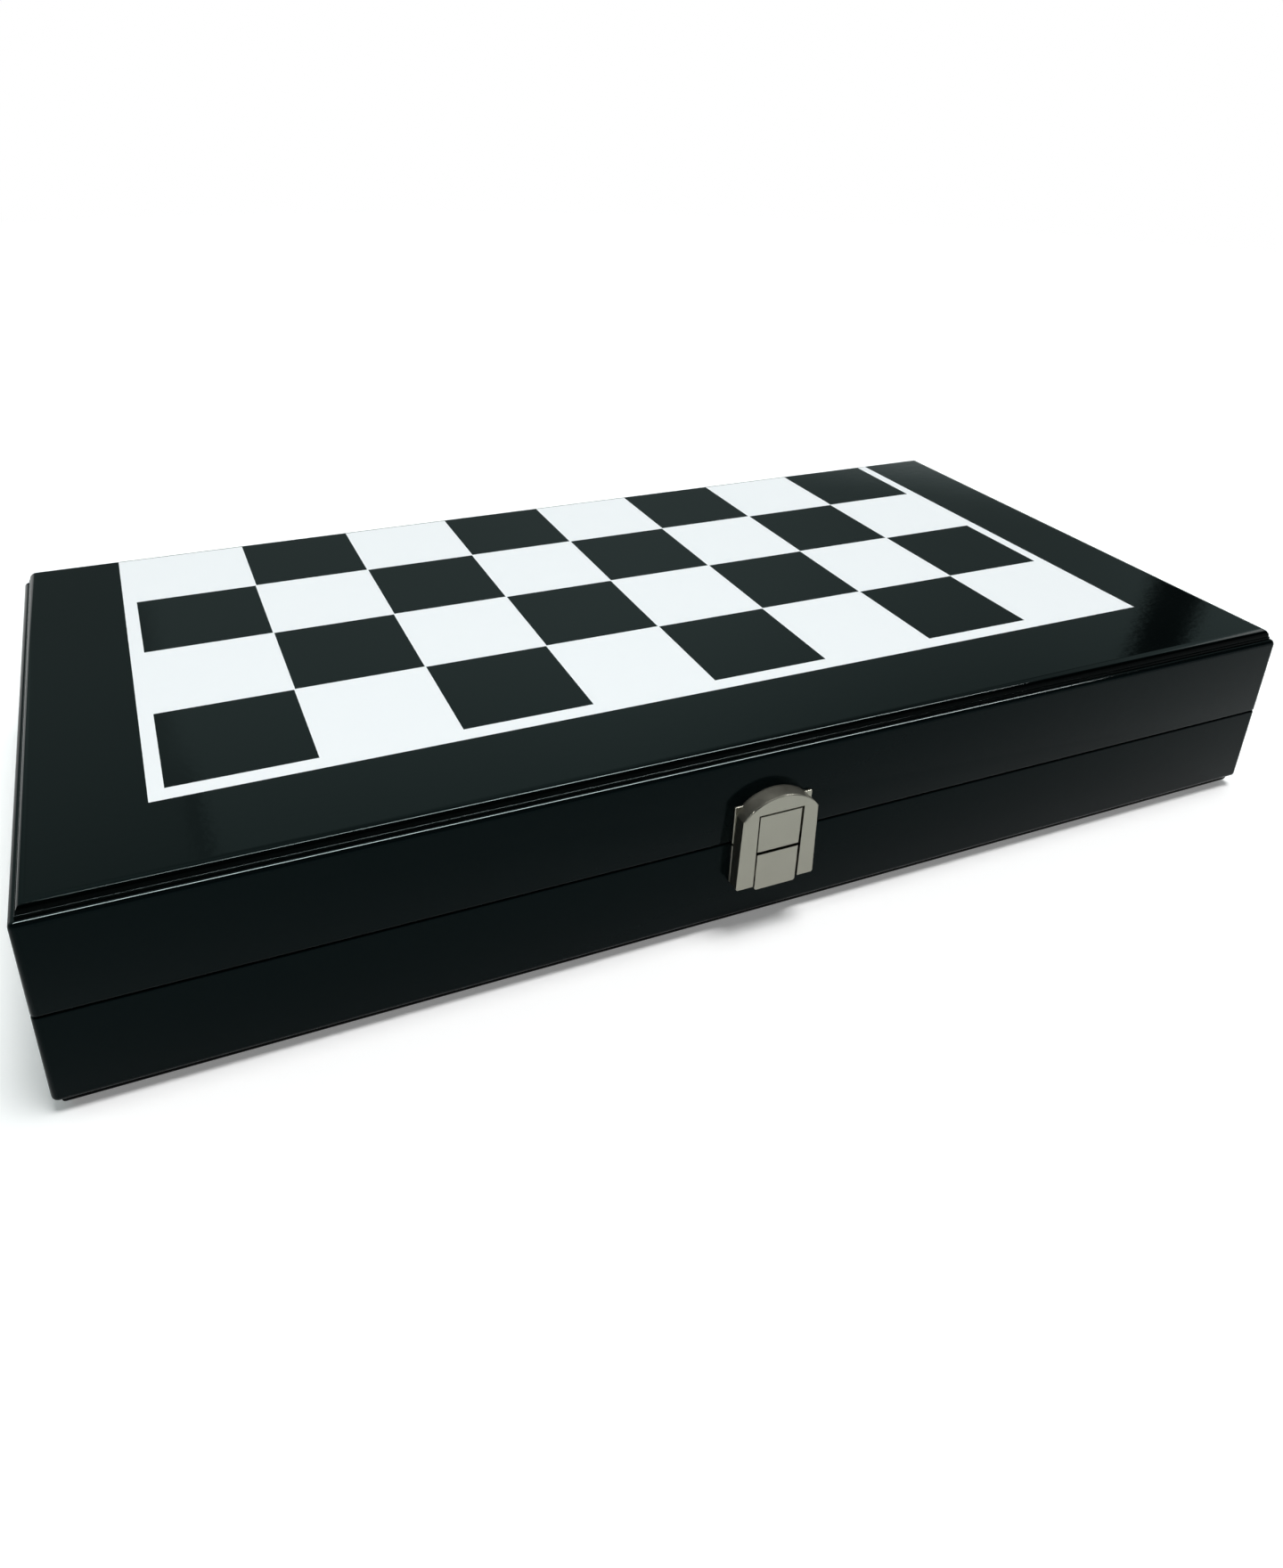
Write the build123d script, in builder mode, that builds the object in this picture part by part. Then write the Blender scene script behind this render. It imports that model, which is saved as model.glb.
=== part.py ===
from build123d import *
from math import atan2, cos, degrees, pi
import os

os.makedirs("parts", exist_ok=True)

# Playing field, one half of the board on each half of the case
cell = 38.7
cells_long = 8
cells_deep = 4
side_margin = 35.2
front_margin = 36.5
fold_trim = 1.3
border_side = 3.9
border_front = 5.0
print_depth = 0.2
corner_link = 0.3

# Chessmen: foot radius and height of each kind
king_radius = 11.5
king_height = 63.0
queen_radius = 11.0
queen_height = 57.0
bishop_radius = 10.0
bishop_height = 48.0
knight_radius = 10.0
knight_height = 43.0
rook_radius = 10.0
rook_height = 38.0
pawn_radius = 8.8
pawn_height = 32.0
turning_facets = 8
foot_height = 3.0
foot_bevel = 2.0
foot_bevel_share = 0.8
knight_head_thickness = 9.0
rook_well_radius = 5.2
rook_well_depth = 3.0
rook_slot_width = 3.2
mitre_slot_width = 1.2
mitre_slot_depth = 6.0
mitre_slot_offset = 4.5
mitre_slot_drop = 7.7
mitre_slot_tilt = 35.0
cross_arm = 1.6
cross_width = 5.1
cross_height = 6.4
cross_root = 1.3
cross_bar_drop = 2.9
magnet_side = 6.0
magnet_thickness = 2.0
magnet_clearance = 0.1

# Profiles above the foot: share of the man's height, share of its foot radius
pawn_profile = [(0.56, 0.34), (0.6, 0.62), (0.64, 0.36), (0.82, 0.64), (1, 0.2)]
rook_profile = [(0.2, 0.68), (0.64, 0.5), (0.7, 0.74), (1, 0.74)]
bishop_profile = [
    (0.2, 0.6),
    (0.58, 0.32),
    (0.61, 0.58),
    (0.65, 0.34),
    (0.75, 0.54),
    (0.92, 0.16),
    (0.96, 0.2),
    (1, 0.1),
]
queen_profile = [
    (0.18, 0.62),
    (0.58, 0.3),
    (0.61, 0.56),
    (0.645, 0.32),
    (0.89, 0.56),
    (0.92, 0.3),
    (0.945, 0.14),
    (0.97, 0.22),
    (1, 0.12),
]
king_profile = [
    (0.17, 0.62),
    (0.56, 0.3),
    (0.59, 0.54),
    (0.62, 0.32),
    (0.82, 0.52),
    (0.86, 0.46),
    (1 - cross_height / king_height, 0.14),
]
knight_profile = [(0.2, 0.66), (0.3, 0.56)]

# Side view of the knight's head: share of its foot radius, share of its height
knight_outline = [
    (0.5, 0.25),
    (0.62, 0.48),
    (0.52, 0.72),
    (0.22, 0.92),
    (0.05, 1),
    (-0.08, 0.9),
    (-0.62, 0.7),
    (-0.72, 0.58),
    (-0.5, 0.53),
    (-0.12, 0.62),
    (-0.3, 0.42),
    (-0.48, 0.25),
]

# Case: panels, rails and the foam that holds the men
panel_thickness = 3.4
steel_thickness = 0.6
steel_side_inset = 8.0
steel_fold_inset = 3.0
rail_thickness = 10.0
bed_thickness = 2.0
insert_height = 13.0
foam_clearance = 0.3
bed_gap = 0.3
head_room = 1.3
men_in_row = 8
tray_end_margin = 8.0
officer_row_margin = 23.0
pawn_row_margin = 25.0
nest_clearance = 0.6
foot_nest_length = 10.0
officer_nest_width = 16.0
pawn_nest_width = 12.6

# Edges: moulding of the panel, shoulder of the rails, rims and fold
ledge_width = 1.7
step_width = 0.3
ovolo_radius = 2.5
shoulder_radius = 1.6
corner_radius = 1.8
rim_bevel = 0.6
fold_radius = 0.5
seam_gap = 0.2
fold_gap = 0.3

# Butt hinges, one near each end of the fold
hinge_inset = 80.0
hinge_length = 30.0
hinge_reach = 8.0
leaf_thickness = 1.0
knuckle_radius = 2.0
knuckle_share = 0.34
pin_radius = 0.95
pin_clearance = 0.05
hinge_clearance = 0.3
axial_clearance = 0.2
screw_spacing = 18.0
screw_radius = 0.85
screw_length = 7.5
screw_head_radius = 1.9
screw_tip_radius = 0.5
screw_clearance = 0.1
fastener_facets = 8

# Press latch in the middle of the front
plate_width = 24.5
upper_plate_height = 12.0
lower_plate_height = 12.6
lower_plate_drop = 0.6
plate_thickness = 0.8
cover_width = 23.7
cover_flare = 0.6
cover_depth = 5.2
cover_shoulder = 9.8
cover_rise = 6.2
cover_drop = 13.2
cover_wall = 1.2
cover_lift = 0.3
cover_bevel = 0.3
cover_corner = 0.5
slot_width = 14.3
slot_top = 11.0
slot_clearance = 0.5
button_top_clearance = 0.5
button_foot = 1.55
button_gap = 0.75
button_thickness = 1.7
face_recess = 0.1
button_bevel = 0.2
button_travel = 1.4
flange_reach = 0.9
flange_thickness = 0.45
flange_rise = 0.6
flange_foot = 0.8
tongue_drop = 14.4
tongue_corner = 0.8
tongue_taper = 0.2
pocket_clearance = 0.2
travel_clearance = 0.6
window_inset = 1.0
window_top = 10.4
yoke_clearance = 0.7
cheek_thickness = 1.2
cheek_height = 4.0
yoke_foot = 0.9
crossbar_back = 1.4
crossbar_depth = 1.3
crossbar_foot = 1.2
crossbar_height = 1.4
arm_width = 7.0
arm_front = 1.2
arm_thickness = 0.8
arm_foot = 4.0
catch_play = 0.3
barb_reach = 1.2
barb_height = 1.5
barb_lip = 0.3
spring_width = 5.0
spring_thickness = 0.3
spring_foot = 5.4
spring_rise = 4.6
spring_tip_drop = 3.6
spring_bend = 0.5
spring_clearance = 0.05
notch_clearance = 0.3
nail_spread = 18.6
nail_height = 4.6
nail_head_radius = 1.2
nail_head_height = 0.5
nail_side = 1.0
nail_length = 6.5
nail_clearance = 0.05

# Sizes that follow from the ones above
case_length = cells_long * cell + 2 * side_margin
half_depth = cells_deep * cell + front_margin - fold_trim
half_height = (
    panel_thickness + bed_thickness + bed_gap + 2 * king_radius + head_room
)
rim_height = seam_gap / 2
ledge_height = half_height - panel_thickness
front_wall = -half_depth / 2
rear_wall = half_depth / 2
inner_length = case_length - 2 * rail_thickness
inner_depth = half_depth - 2 * rail_thickness
moulding_width = ledge_width + step_width + ovolo_radius
grid_front = front_wall + front_margin
print_front = grid_front - border_front
print_rear = rear_wall - fold_radius
print_length = cells_long * cell + 2 * border_side
bed_face = ledge_height - bed_thickness
nest_pitch = (inner_length - 2 * tray_end_margin) / men_in_row
officer_foot = front_wall + rail_thickness + officer_row_margin
pawn_foot = rear_wall - rail_thickness - pawn_row_margin
hinge_axis = rear_wall + fold_gap / 2
hinge_offset = case_length / 2 - hinge_inset
leaf_face = rim_height + leaf_thickness
middle_knuckle = hinge_length * knuckle_share
end_knuckle = (hinge_length - middle_knuckle) / 2 - axial_clearance
screw_row = rear_wall - hinge_reach / 2 - knuckle_radius / 4
window_width = slot_width - 2 * window_inset
button_width = slot_width - 2 * slot_clearance
button_back = cover_depth - face_recess - button_thickness
pocket_depth = crossbar_back + button_travel + travel_clearance
catch_height = crossbar_foot + crossbar_height + catch_play
nail_hole = nail_side + 2 * nail_clearance
rear_overhang = knuckle_radius + fold_gap / 2
case_middle = (cover_depth - rear_overhang) / 2

# The seam plane: upper half as drawn, lower half turned half a turn about the depth axis
half_planes = {
    "upper": Plane(origin=(0, case_middle, half_height)),
    "lower": Plane(
        origin=(0, case_middle, half_height), x_dir=(-1, 0, 0), z_dir=(0, 0, -1)
    ),
}


def save(part, name):
    """Label a finished piece and write it to its own file."""
    part.label = name
    export_step(part, f"parts/{name}.step")


def save_half(part, side, name):
    """Place a piece that was drawn at the seam plane in the given half, and write it."""
    with BuildPart(half_planes[side]) as placed:
        add(part)
    save(placed.part, name)


def frustum(radius, top_radius, height, facets):
    """A faceted cone that stands at the origin and narrows upwards."""
    slope = degrees(atan2((radius - top_radius) * cos(pi / facets), height))
    with BuildPart() as cone:
        with BuildSketch(Plane.XY):
            RegularPolygon(radius, facets)
        extrude(amount=height, taper=slope)
    return cone.part


# Board panel: moulded on three edges, flush with the wall at the fold
groove_height = half_height - ovolo_radius
fold_height = half_height - fold_radius
with BuildPart() as panel:
    with BuildSketch(Plane.YZ):
        with BuildLine():
            foot = front_wall + ledge_width
            brow = front_wall + moulding_width
            CenterArc((brow, groove_height), ovolo_radius, 90, 90)
            Polyline(
                (brow - ovolo_radius, groove_height),
                (foot, groove_height),
                (foot, ledge_height),
                (rear_wall, ledge_height),
                (rear_wall, fold_height),
            )
            CenterArc((rear_wall - fold_radius, fold_height), fold_radius, 0, 90)
            Line((rear_wall - fold_radius, half_height), (brow, half_height))
        make_face()
    extrude(amount=case_length / 2, both=True)
    with BuildSketch(Plane.XZ):
        with BuildLine():
            foot = case_length / 2 - ledge_width
            brow = case_length / 2 - moulding_width
            CenterArc((brow, groove_height), ovolo_radius, 0, 90)
            CenterArc((-brow, groove_height), ovolo_radius, 90, 90)
            Line((-brow, half_height), (brow, half_height))
            Polyline(
                (brow + ovolo_radius, groove_height),
                (foot, groove_height),
                (foot, ledge_height),
                (-foot, ledge_height),
                (-foot, groove_height),
                (-brow - ovolo_radius, groove_height),
            )
        make_face()
    extrude(amount=half_depth, both=True, mode=Mode.INTERSECT)

# White field of the board, with a window for each dark square
dark_side = cell - corner_link
dark_centres = [
    ((column - (cells_long - 1) / 2) * cell, grid_front + (row + 0.5) * cell)
    for column in range(cells_long)
    for row in range(cells_deep)
    if (column + row) % 2 == 0
]
with BuildPart() as board_print:
    with BuildSketch(Plane.XY.offset(half_height)):
        with Locations((0, (print_front + print_rear) / 2)):
            Rectangle(print_length, print_rear - print_front)
        with Locations(dark_centres):
            Rectangle(dark_side, dark_side, mode=Mode.SUBTRACT)
    extrude(amount=-print_depth)

# Steel sheet under the squares, let into the back of the panel
with BuildPart() as steel_sheet:
    with BuildSketch(Plane.XY.offset(ledge_height)):
        with Locations((0, (steel_side_inset - steel_fold_inset) / 2)):
            Rectangle(
                case_length - 2 * steel_side_inset,
                half_depth - steel_side_inset - steel_fold_inset,
            )
    extrude(amount=steel_thickness)

with BuildPart() as finished_panel:
    add(panel.part)
    add(board_print.part, mode=Mode.SUBTRACT)
    add(steel_sheet.part, mode=Mode.SUBTRACT)

# Rails: one rounded ring, mitred into four
with BuildPart() as ring:
    with BuildSketch(Plane.XY.offset(rim_height)):
        Rectangle(case_length, half_depth)
        Rectangle(inner_length, inner_depth, mode=Mode.SUBTRACT)
    extrude(amount=ledge_height - rim_height)
    fillet(ring.edges().filter_by(Axis.Z).group_by(Axis.Y)[0], corner_radius)
    shoulder = ring.faces().filter_by(Axis.Z).sort_by(Axis.Z)[-1].outer_wire().edges()
    fillet(shoulder.sort_by(Axis.Y)[:-1], shoulder_radius)
    rim = ring.faces().filter_by(Axis.Z).sort_by(Axis.Z)[0].outer_wire().edges()
    chamfer(rim.sort_by(Axis.Y)[:-1], rim_bevel)


def mitred_rail(turn, length, depth):
    """The side of the ring that faces the viewer once it is turned, between its mitres."""
    with BuildPart() as rail:
        with BuildSketch(Plane.XY):
            Polygon(
                (-length / 2, -depth / 2),
                (length / 2, -depth / 2),
                (length / 2 - rail_thickness, rail_thickness - depth / 2),
                (rail_thickness - length / 2, rail_thickness - depth / 2),
                align=None,
                rotation=turn,
            )
        extrude(amount=half_height)
        add(ring.part, mode=Mode.INTERSECT)
    return rail.part


front_rail = mitred_rail(0, case_length, half_depth)
right_rail = mitred_rail(90, half_depth, case_length)
left_rail = mitred_rail(-90, half_depth, case_length)

# Butt hinges: the upper leaves carry the end knuckles, the lower leaves the middle one
hinge_centres = [-hinge_offset, hinge_offset]
screw_places = [
    (centre + side * screw_spacing / 2, screw_row)
    for centre in hinge_centres
    for side in (-1, 1)
]
middle_starts = [centre - middle_knuckle / 2 for centre in hinge_centres]
end_starts = [centre - hinge_length / 2 for centre in hinge_centres] + [
    centre + middle_knuckle / 2 + axial_clearance for centre in hinge_centres
]


def rounds_on_axis(starts, radius, length):
    """Cylinders on the hinge axis, one from each of the given places along it."""
    with BuildPart() as rounds:
        with BuildSketch(*[Plane.YZ.offset(start) for start in starts]):
            with Locations((hinge_axis, 0)):
                Circle(radius)
        extrude(amount=length)
    return rounds.part


def hinge_leaves(own_starts, own_length, other_starts, other_length):
    """One half's leaves of both hinges, cut back where the other half's knuckles turn."""
    other_starts = [start - axial_clearance for start in other_starts]
    other_length = other_length + 2 * axial_clearance
    hinge_starts = [centre - hinge_length / 2 for centre in hinge_centres]
    with BuildPart() as leaves:
        with BuildSketch(Plane.XY.offset(rim_height)):
            with Locations([(x, rear_wall - hinge_reach) for x in hinge_centres]):
                Rectangle(
                    hinge_length,
                    hinge_reach + fold_gap / 2,
                    align=(Align.CENTER, Align.MIN),
                )
        extrude(amount=leaf_thickness)
        add(
            rounds_on_axis(other_starts, knuckle_radius + hinge_clearance, other_length),
            mode=Mode.SUBTRACT,
        )
        add(rounds_on_axis(own_starts, knuckle_radius, own_length))
        add(
            rounds_on_axis(hinge_starts, pin_radius + pin_clearance, hinge_length),
            mode=Mode.SUBTRACT,
        )
        with Locations([(x, y, rim_height) for x, y in screw_places]):
            add(
                frustum(
                    screw_head_radius + screw_clearance,
                    screw_radius + screw_clearance,
                    leaf_thickness,
                    fastener_facets,
                ),
                mode=Mode.SUBTRACT,
            )
    return leaves.part


upper_leaves = hinge_leaves(end_starts, end_knuckle, middle_starts, middle_knuckle)
lower_leaves = hinge_leaves(middle_starts, middle_knuckle, end_starts, end_knuckle)
hinge_pins = rounds_on_axis(
    [centre - hinge_length / 2 for centre in hinge_centres], pin_radius, hinge_length
)

with BuildPart() as hinge_screws:
    with Locations([(x, y, rim_height) for x, y in screw_places]):
        add(frustum(screw_head_radius, screw_radius, leaf_thickness, fastener_facets))
    with Locations([(x, y, leaf_face) for x, y in screw_places]):
        add(frustum(screw_radius, screw_tip_radius, screw_length, fastener_facets))

# Rear rail: let in for the leaves, the barrels and the screws
with BuildPart() as rear_rail:
    add(mitred_rail(180, case_length, half_depth))
    with BuildSketch(Plane.XY):
        with Locations([(x, rear_wall + pocket_clearance) for x in hinge_centres]):
            Rectangle(
                hinge_length + 2 * axial_clearance,
                hinge_reach + 2 * pocket_clearance,
                align=(Align.CENTER, Align.MAX),
            )
    extrude(amount=leaf_face, mode=Mode.SUBTRACT)
    add(
        rounds_on_axis(
            [x - hinge_length / 2 - hinge_clearance for x in hinge_centres],
            knuckle_radius + hinge_clearance,
            hinge_length + 2 * hinge_clearance,
        ),
        mode=Mode.SUBTRACT,
    )
    with BuildSketch(Plane.XY.offset(leaf_face)):
        with Locations(screw_places):
            RegularPolygon(screw_radius + screw_clearance, fastener_facets)
    extrude(amount=screw_length + screw_clearance, mode=Mode.SUBTRACT)

# Front rails: pocket for the catch in the upper one, nail holes in both
front_plane = Plane(origin=(0, front_wall, 0), x_dir=(1, 0, 0), z_dir=(0, -1, 0))
upper_nail_places = [
    (side * nail_spread / 2, rim_height + nail_height) for side in (-1, 1)
]
lower_nail_places = [
    (side * nail_spread / 2, -lower_plate_drop - nail_height) for side in (-1, 1)
]


def nailed_rail(places):
    """The front rail with a hole for each latch nail."""
    with BuildPart() as rail:
        add(front_rail)
        with BuildSketch(front_plane):
            with Locations(places):
                Rectangle(nail_hole, nail_hole)
        extrude(amount=-nail_length, mode=Mode.SUBTRACT)
    return rail.part


with BuildPart() as upper_front_rail:
    add(nailed_rail(upper_nail_places))
    with BuildSketch(front_plane):
        Rectangle(
            window_width + 2 * pocket_clearance,
            window_top + pocket_clearance,
            align=(Align.CENTER, Align.MIN),
        )
    extrude(amount=-pocket_depth, mode=Mode.SUBTRACT)

lower_front_rail = nailed_rail([(x, -y) for x, y in lower_nail_places])

# Latch plates: flat on the front wall, one on each side of the seam
with BuildPart() as latch_upper_plate:
    with BuildSketch(front_plane):
        with Locations((0, rim_height)):
            Rectangle(
                plate_width, upper_plate_height, align=(Align.CENTER, Align.MIN)
            )
        Rectangle(
            window_width,
            window_top,
            align=(Align.CENTER, Align.MIN),
            mode=Mode.SUBTRACT,
        )
        with Locations(upper_nail_places):
            Rectangle(nail_hole, nail_hole, mode=Mode.SUBTRACT)
    extrude(amount=plate_thickness)

with BuildPart() as latch_lower_plate:
    with BuildSketch(front_plane):
        with Locations((0, -lower_plate_drop)):
            Rectangle(
                plate_width, lower_plate_height, align=(Align.CENTER, Align.MAX)
            )
        Rectangle(
            arm_width + 2 * notch_clearance,
            arm_foot + notch_clearance,
            align=(Align.CENTER, Align.MAX),
            mode=Mode.SUBTRACT,
        )
        with Locations(lower_nail_places):
            Rectangle(nail_hole, nail_hole, mode=Mode.SUBTRACT)
    extrude(amount=plate_thickness)


def latch_nails(places):
    """Cut tacks with square shanks, through one latch plate into the rail behind it."""
    with BuildPart() as nails:
        with BuildSketch(front_plane.offset(plate_thickness)):
            with Locations(places):
                RegularPolygon(nail_head_radius, fastener_facets)
        extrude(amount=nail_head_height)
        with BuildSketch(front_plane.offset(plate_thickness)):
            with Locations(places):
                Rectangle(nail_side, nail_side)
        extrude(amount=-nail_length)
    return nails.part


# Latch cover: an arched hood with a slot that the button and tongue fill
arch_radius = ((cover_width / 2) ** 2 + cover_rise**2) / (2 * cover_rise)
arch_centre = cover_shoulder + cover_rise - arch_radius
inner_half = cover_width / 2 - cover_wall
inner_radius = arch_radius - cover_wall
inner_shoulder = arch_centre + (inner_radius**2 - inner_half**2) ** 0.5
plate_top = rim_height + upper_plate_height
cover_foot = cover_width + 2 * cover_flare
with BuildPart() as latch_cover:
    with BuildSketch(front_plane) as hood:
        with BuildLine():
            Polyline(
                (-cover_width / 2, cover_shoulder),
                (-cover_width / 2 - cover_flare, -cover_drop),
                (cover_width / 2 + cover_flare, -cover_drop),
                (cover_width / 2, cover_shoulder),
            )
            ThreePointArc(
                (cover_width / 2, cover_shoulder),
                (0, cover_shoulder + cover_rise),
                (-cover_width / 2, cover_shoulder),
            )
        make_face()
        chamfer(hood.vertices().group_by(Axis.Y)[0], cover_corner)
    extrude(amount=cover_depth)
    cover_face = latch_cover.faces().sort_by(Axis.Y)[0]
    chamfer(cover_face.outer_wire().edges(), cover_bevel)
    with BuildSketch(front_plane):
        with BuildLine():
            Polyline(
                (-inner_half, inner_shoulder),
                (-inner_half - cover_flare, -cover_drop),
                (inner_half + cover_flare, -cover_drop),
                (inner_half, inner_shoulder),
            )
            ThreePointArc(
                (inner_half, inner_shoulder),
                (0, cover_shoulder + cover_rise - cover_wall),
                (-inner_half, inner_shoulder),
            )
        make_face()
    extrude(amount=cover_depth - cover_wall, mode=Mode.SUBTRACT)
    with BuildSketch(front_plane):
        with Locations((0, slot_top)):
            Rectangle(
                slot_width, slot_top + cover_drop, align=(Align.CENTER, Align.MAX)
            )
    extrude(amount=cover_depth, mode=Mode.SUBTRACT)
    with BuildSketch(front_plane):
        with Locations((0, plate_top)):
            Rectangle(
                cover_foot, plate_top + cover_drop, align=(Align.CENTER, Align.MAX)
            )
    extrude(amount=plate_thickness, mode=Mode.SUBTRACT)
    with BuildSketch(front_plane):
        Rectangle(cover_foot, cover_drop, align=(Align.CENTER, Align.MAX))
    extrude(amount=plate_thickness + cover_lift, mode=Mode.SUBTRACT)

# Latch button: its yoke reaches into the pocket and carries the crossbar behind the tongue's arm
side_plane = Plane(origin=(0, front_wall, 0), x_dir=(0, -1, 0), z_dir=(-1, 0, 0))
yoke_width = window_width - 2 * yoke_clearance
with BuildPart() as latch_button:
    with BuildSketch(front_plane.offset(button_back)):
        with Locations((0, slot_top - button_top_clearance)):
            Rectangle(
                button_width,
                slot_top - button_top_clearance + button_foot,
                align=(Align.CENTER, Align.MAX),
            )
    extrude(amount=button_thickness)
    button_face = latch_button.faces().sort_by(Axis.Y)[0]
    chamfer(button_face.outer_wire().edges(), button_bevel)
    with BuildSketch(front_plane.offset(button_back)):
        with Locations((0, flange_foot)):
            Rectangle(
                slot_width + 2 * flange_reach,
                slot_top + flange_rise - flange_foot,
                align=(Align.CENTER, Align.MIN),
            )
    extrude(amount=flange_thickness)
    with BuildSketch(front_plane.offset(-crossbar_back)):
        with Locations((0, yoke_foot)):
            Rectangle(yoke_width, cheek_height, align=(Align.CENTER, Align.MIN))
            Rectangle(
                yoke_width - 2 * cheek_thickness,
                cheek_height,
                align=(Align.CENTER, Align.MIN),
                mode=Mode.SUBTRACT,
            )
    extrude(amount=button_back + crossbar_back)
    with BuildSketch(front_plane.offset(-crossbar_back)):
        with Locations((0, crossbar_foot)):
            Rectangle(yoke_width, crossbar_height, align=(Align.CENTER, Align.MIN))
    extrude(amount=crossbar_depth)

# Latch tongue: a block on the lower plate, with an arm whose barb hooks over the crossbar
arm_back = arm_front - arm_thickness
with BuildPart() as latch_tongue:
    with BuildSketch(front_plane.offset(plate_thickness)) as block:
        with Locations((0, -tongue_drop)):
            Rectangle(
                button_width - tongue_taper,
                tongue_drop - button_foot - button_gap,
                align=(Align.CENTER, Align.MIN),
            )
        fillet(block.vertices().group_by(Axis.Y)[0], tongue_corner)
    extrude(amount=cover_depth - face_recess - plate_thickness)
    with BuildSketch(side_plane):
        Polygon(
            (arm_front, -arm_foot),
            (arm_front, catch_height + barb_height),
            (arm_back, catch_height + barb_height),
            (arm_back - barb_reach, catch_height + barb_lip),
            (arm_back - barb_reach, catch_height),
            (arm_back, catch_height),
            (arm_back, -arm_foot),
            align=None,
        )
    extrude(amount=arm_width / 2, both=True)

# Leaf spring: bent strip between the floor of the pocket and the back of the button
strip_inset = spring_clearance + spring_thickness / 2
with BuildPart() as latch_spring:
    with BuildSketch(side_plane):
        with BuildLine() as strip:
            FilletPolyline(
                (strip_inset - pocket_depth, spring_foot),
                (strip_inset - pocket_depth, spring_foot + spring_rise),
                (button_back - strip_inset, spring_foot + spring_rise - spring_tip_drop),
                radius=spring_bend,
            )
        trace(strip.line, spring_thickness)
    extrude(amount=spring_width / 2, both=True)


# Chessmen: faceted turnings with a magnet let into the foot
def turning(radius, height, upper_sections):
    """A turned man from the foot up; each section is a (share of height, share of radius)."""
    foot_sections = [
        (0, radius),
        (foot_height, radius),
        (foot_height + foot_bevel, foot_bevel_share * radius),
    ]
    sections = foot_sections + [(z * height, r * radius) for z, r in upper_sections]
    pocket = magnet_side + 2 * magnet_clearance
    with BuildPart() as man:
        for (low, low_radius), (high, high_radius) in zip(sections, sections[1:]):
            stage = frustum(
                max(low_radius, high_radius),
                min(low_radius, high_radius),
                high - low,
                turning_facets,
            )
            if low_radius >= high_radius:
                with Locations((0, 0, low)):
                    add(stage)
            else:
                with Locations((0, 0, high)):
                    add(mirror(stage, about=Plane.XY, mode=Mode.PRIVATE))
        Box(
            pocket,
            pocket,
            2 * (magnet_thickness + magnet_clearance),
            mode=Mode.SUBTRACT,
        )
    return man.part


pawn = turning(pawn_radius, pawn_height, pawn_profile)
queen = turning(queen_radius, queen_height, queen_profile)

with BuildPart() as rook:
    add(turning(rook_radius, rook_height, rook_profile))
    with BuildSketch(Plane.XY.offset(rook_height)):
        RegularPolygon(rook_well_radius, turning_facets)
    extrude(amount=-rook_well_depth, mode=Mode.SUBTRACT)
    with Locations((0, 0, rook_height)):
        Box(2 * rook_radius, rook_slot_width, rook_well_depth, mode=Mode.SUBTRACT)
        Box(rook_slot_width, 2 * rook_radius, rook_well_depth, mode=Mode.SUBTRACT)

with BuildPart() as bishop:
    add(turning(bishop_radius, bishop_height, bishop_profile))
    slot_place = (mitre_slot_offset, 0, bishop_height - mitre_slot_drop)
    with Locations(Location(slot_place, (0, mitre_slot_tilt, 0))):
        Box(
            mitre_slot_depth,
            bishop_radius,
            mitre_slot_width,
            mode=Mode.SUBTRACT,
        )

with BuildPart() as king:
    add(turning(king_radius, king_height, king_profile))
    with Locations((0, 0, king_height)):
        Box(
            cross_arm,
            cross_arm,
            cross_height + cross_root,
            align=(Align.CENTER, Align.CENTER, Align.MAX),
        )
    with Locations((0, 0, king_height - cross_bar_drop)):
        Box(cross_width, cross_arm, cross_arm)

with BuildPart() as knight:
    add(turning(knight_radius, knight_height, knight_profile))
    with BuildSketch(Plane.XZ):
        Polygon(
            *[(x * knight_radius, z * knight_height) for x, z in knight_outline],
            align=None,
        )
    extrude(amount=knight_head_thickness / 2, both=True)

with BuildPart() as magnet:
    Box(
        magnet_side,
        magnet_side,
        magnet_thickness,
        align=(Align.CENTER, Align.CENTER, Align.MIN),
    )

# Places in the foam: the officers in one row, the pawns facing them in the other
officers = {
    "rooks": (rook.part, rook_radius, rook_height, (0, 7)),
    "knights": (knight.part, knight_radius, knight_height, (1, 6)),
    "bishops": (bishop.part, bishop_radius, bishop_height, (2, 5)),
    "queen": (queen, queen_radius, queen_height, (3,)),
    "king": (king.part, king_radius, king_height, (4,)),
}


def nest_middle(place):
    """Distance of a place in the row from the middle of the case."""
    return (place - (men_in_row - 1) / 2) * nest_pitch


def lying(radius, foot, direction, places):
    """Planes that lay a man on the foam bed, foot at the given depth, head pointing away."""
    axis_height = bed_face - bed_gap - radius
    return [
        Plane(
            origin=(nest_middle(place), foot, axis_height),
            x_dir=(1, 0, 0),
            z_dir=(0, direction, 0),
        )
        for place in places
    ]


with BuildPart() as foam_bed:
    with BuildSketch(Plane.XY.offset(bed_face)):
        Rectangle(inner_length - 2 * foam_clearance, inner_depth - 2 * foam_clearance)
    extrude(amount=bed_thickness)

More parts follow.
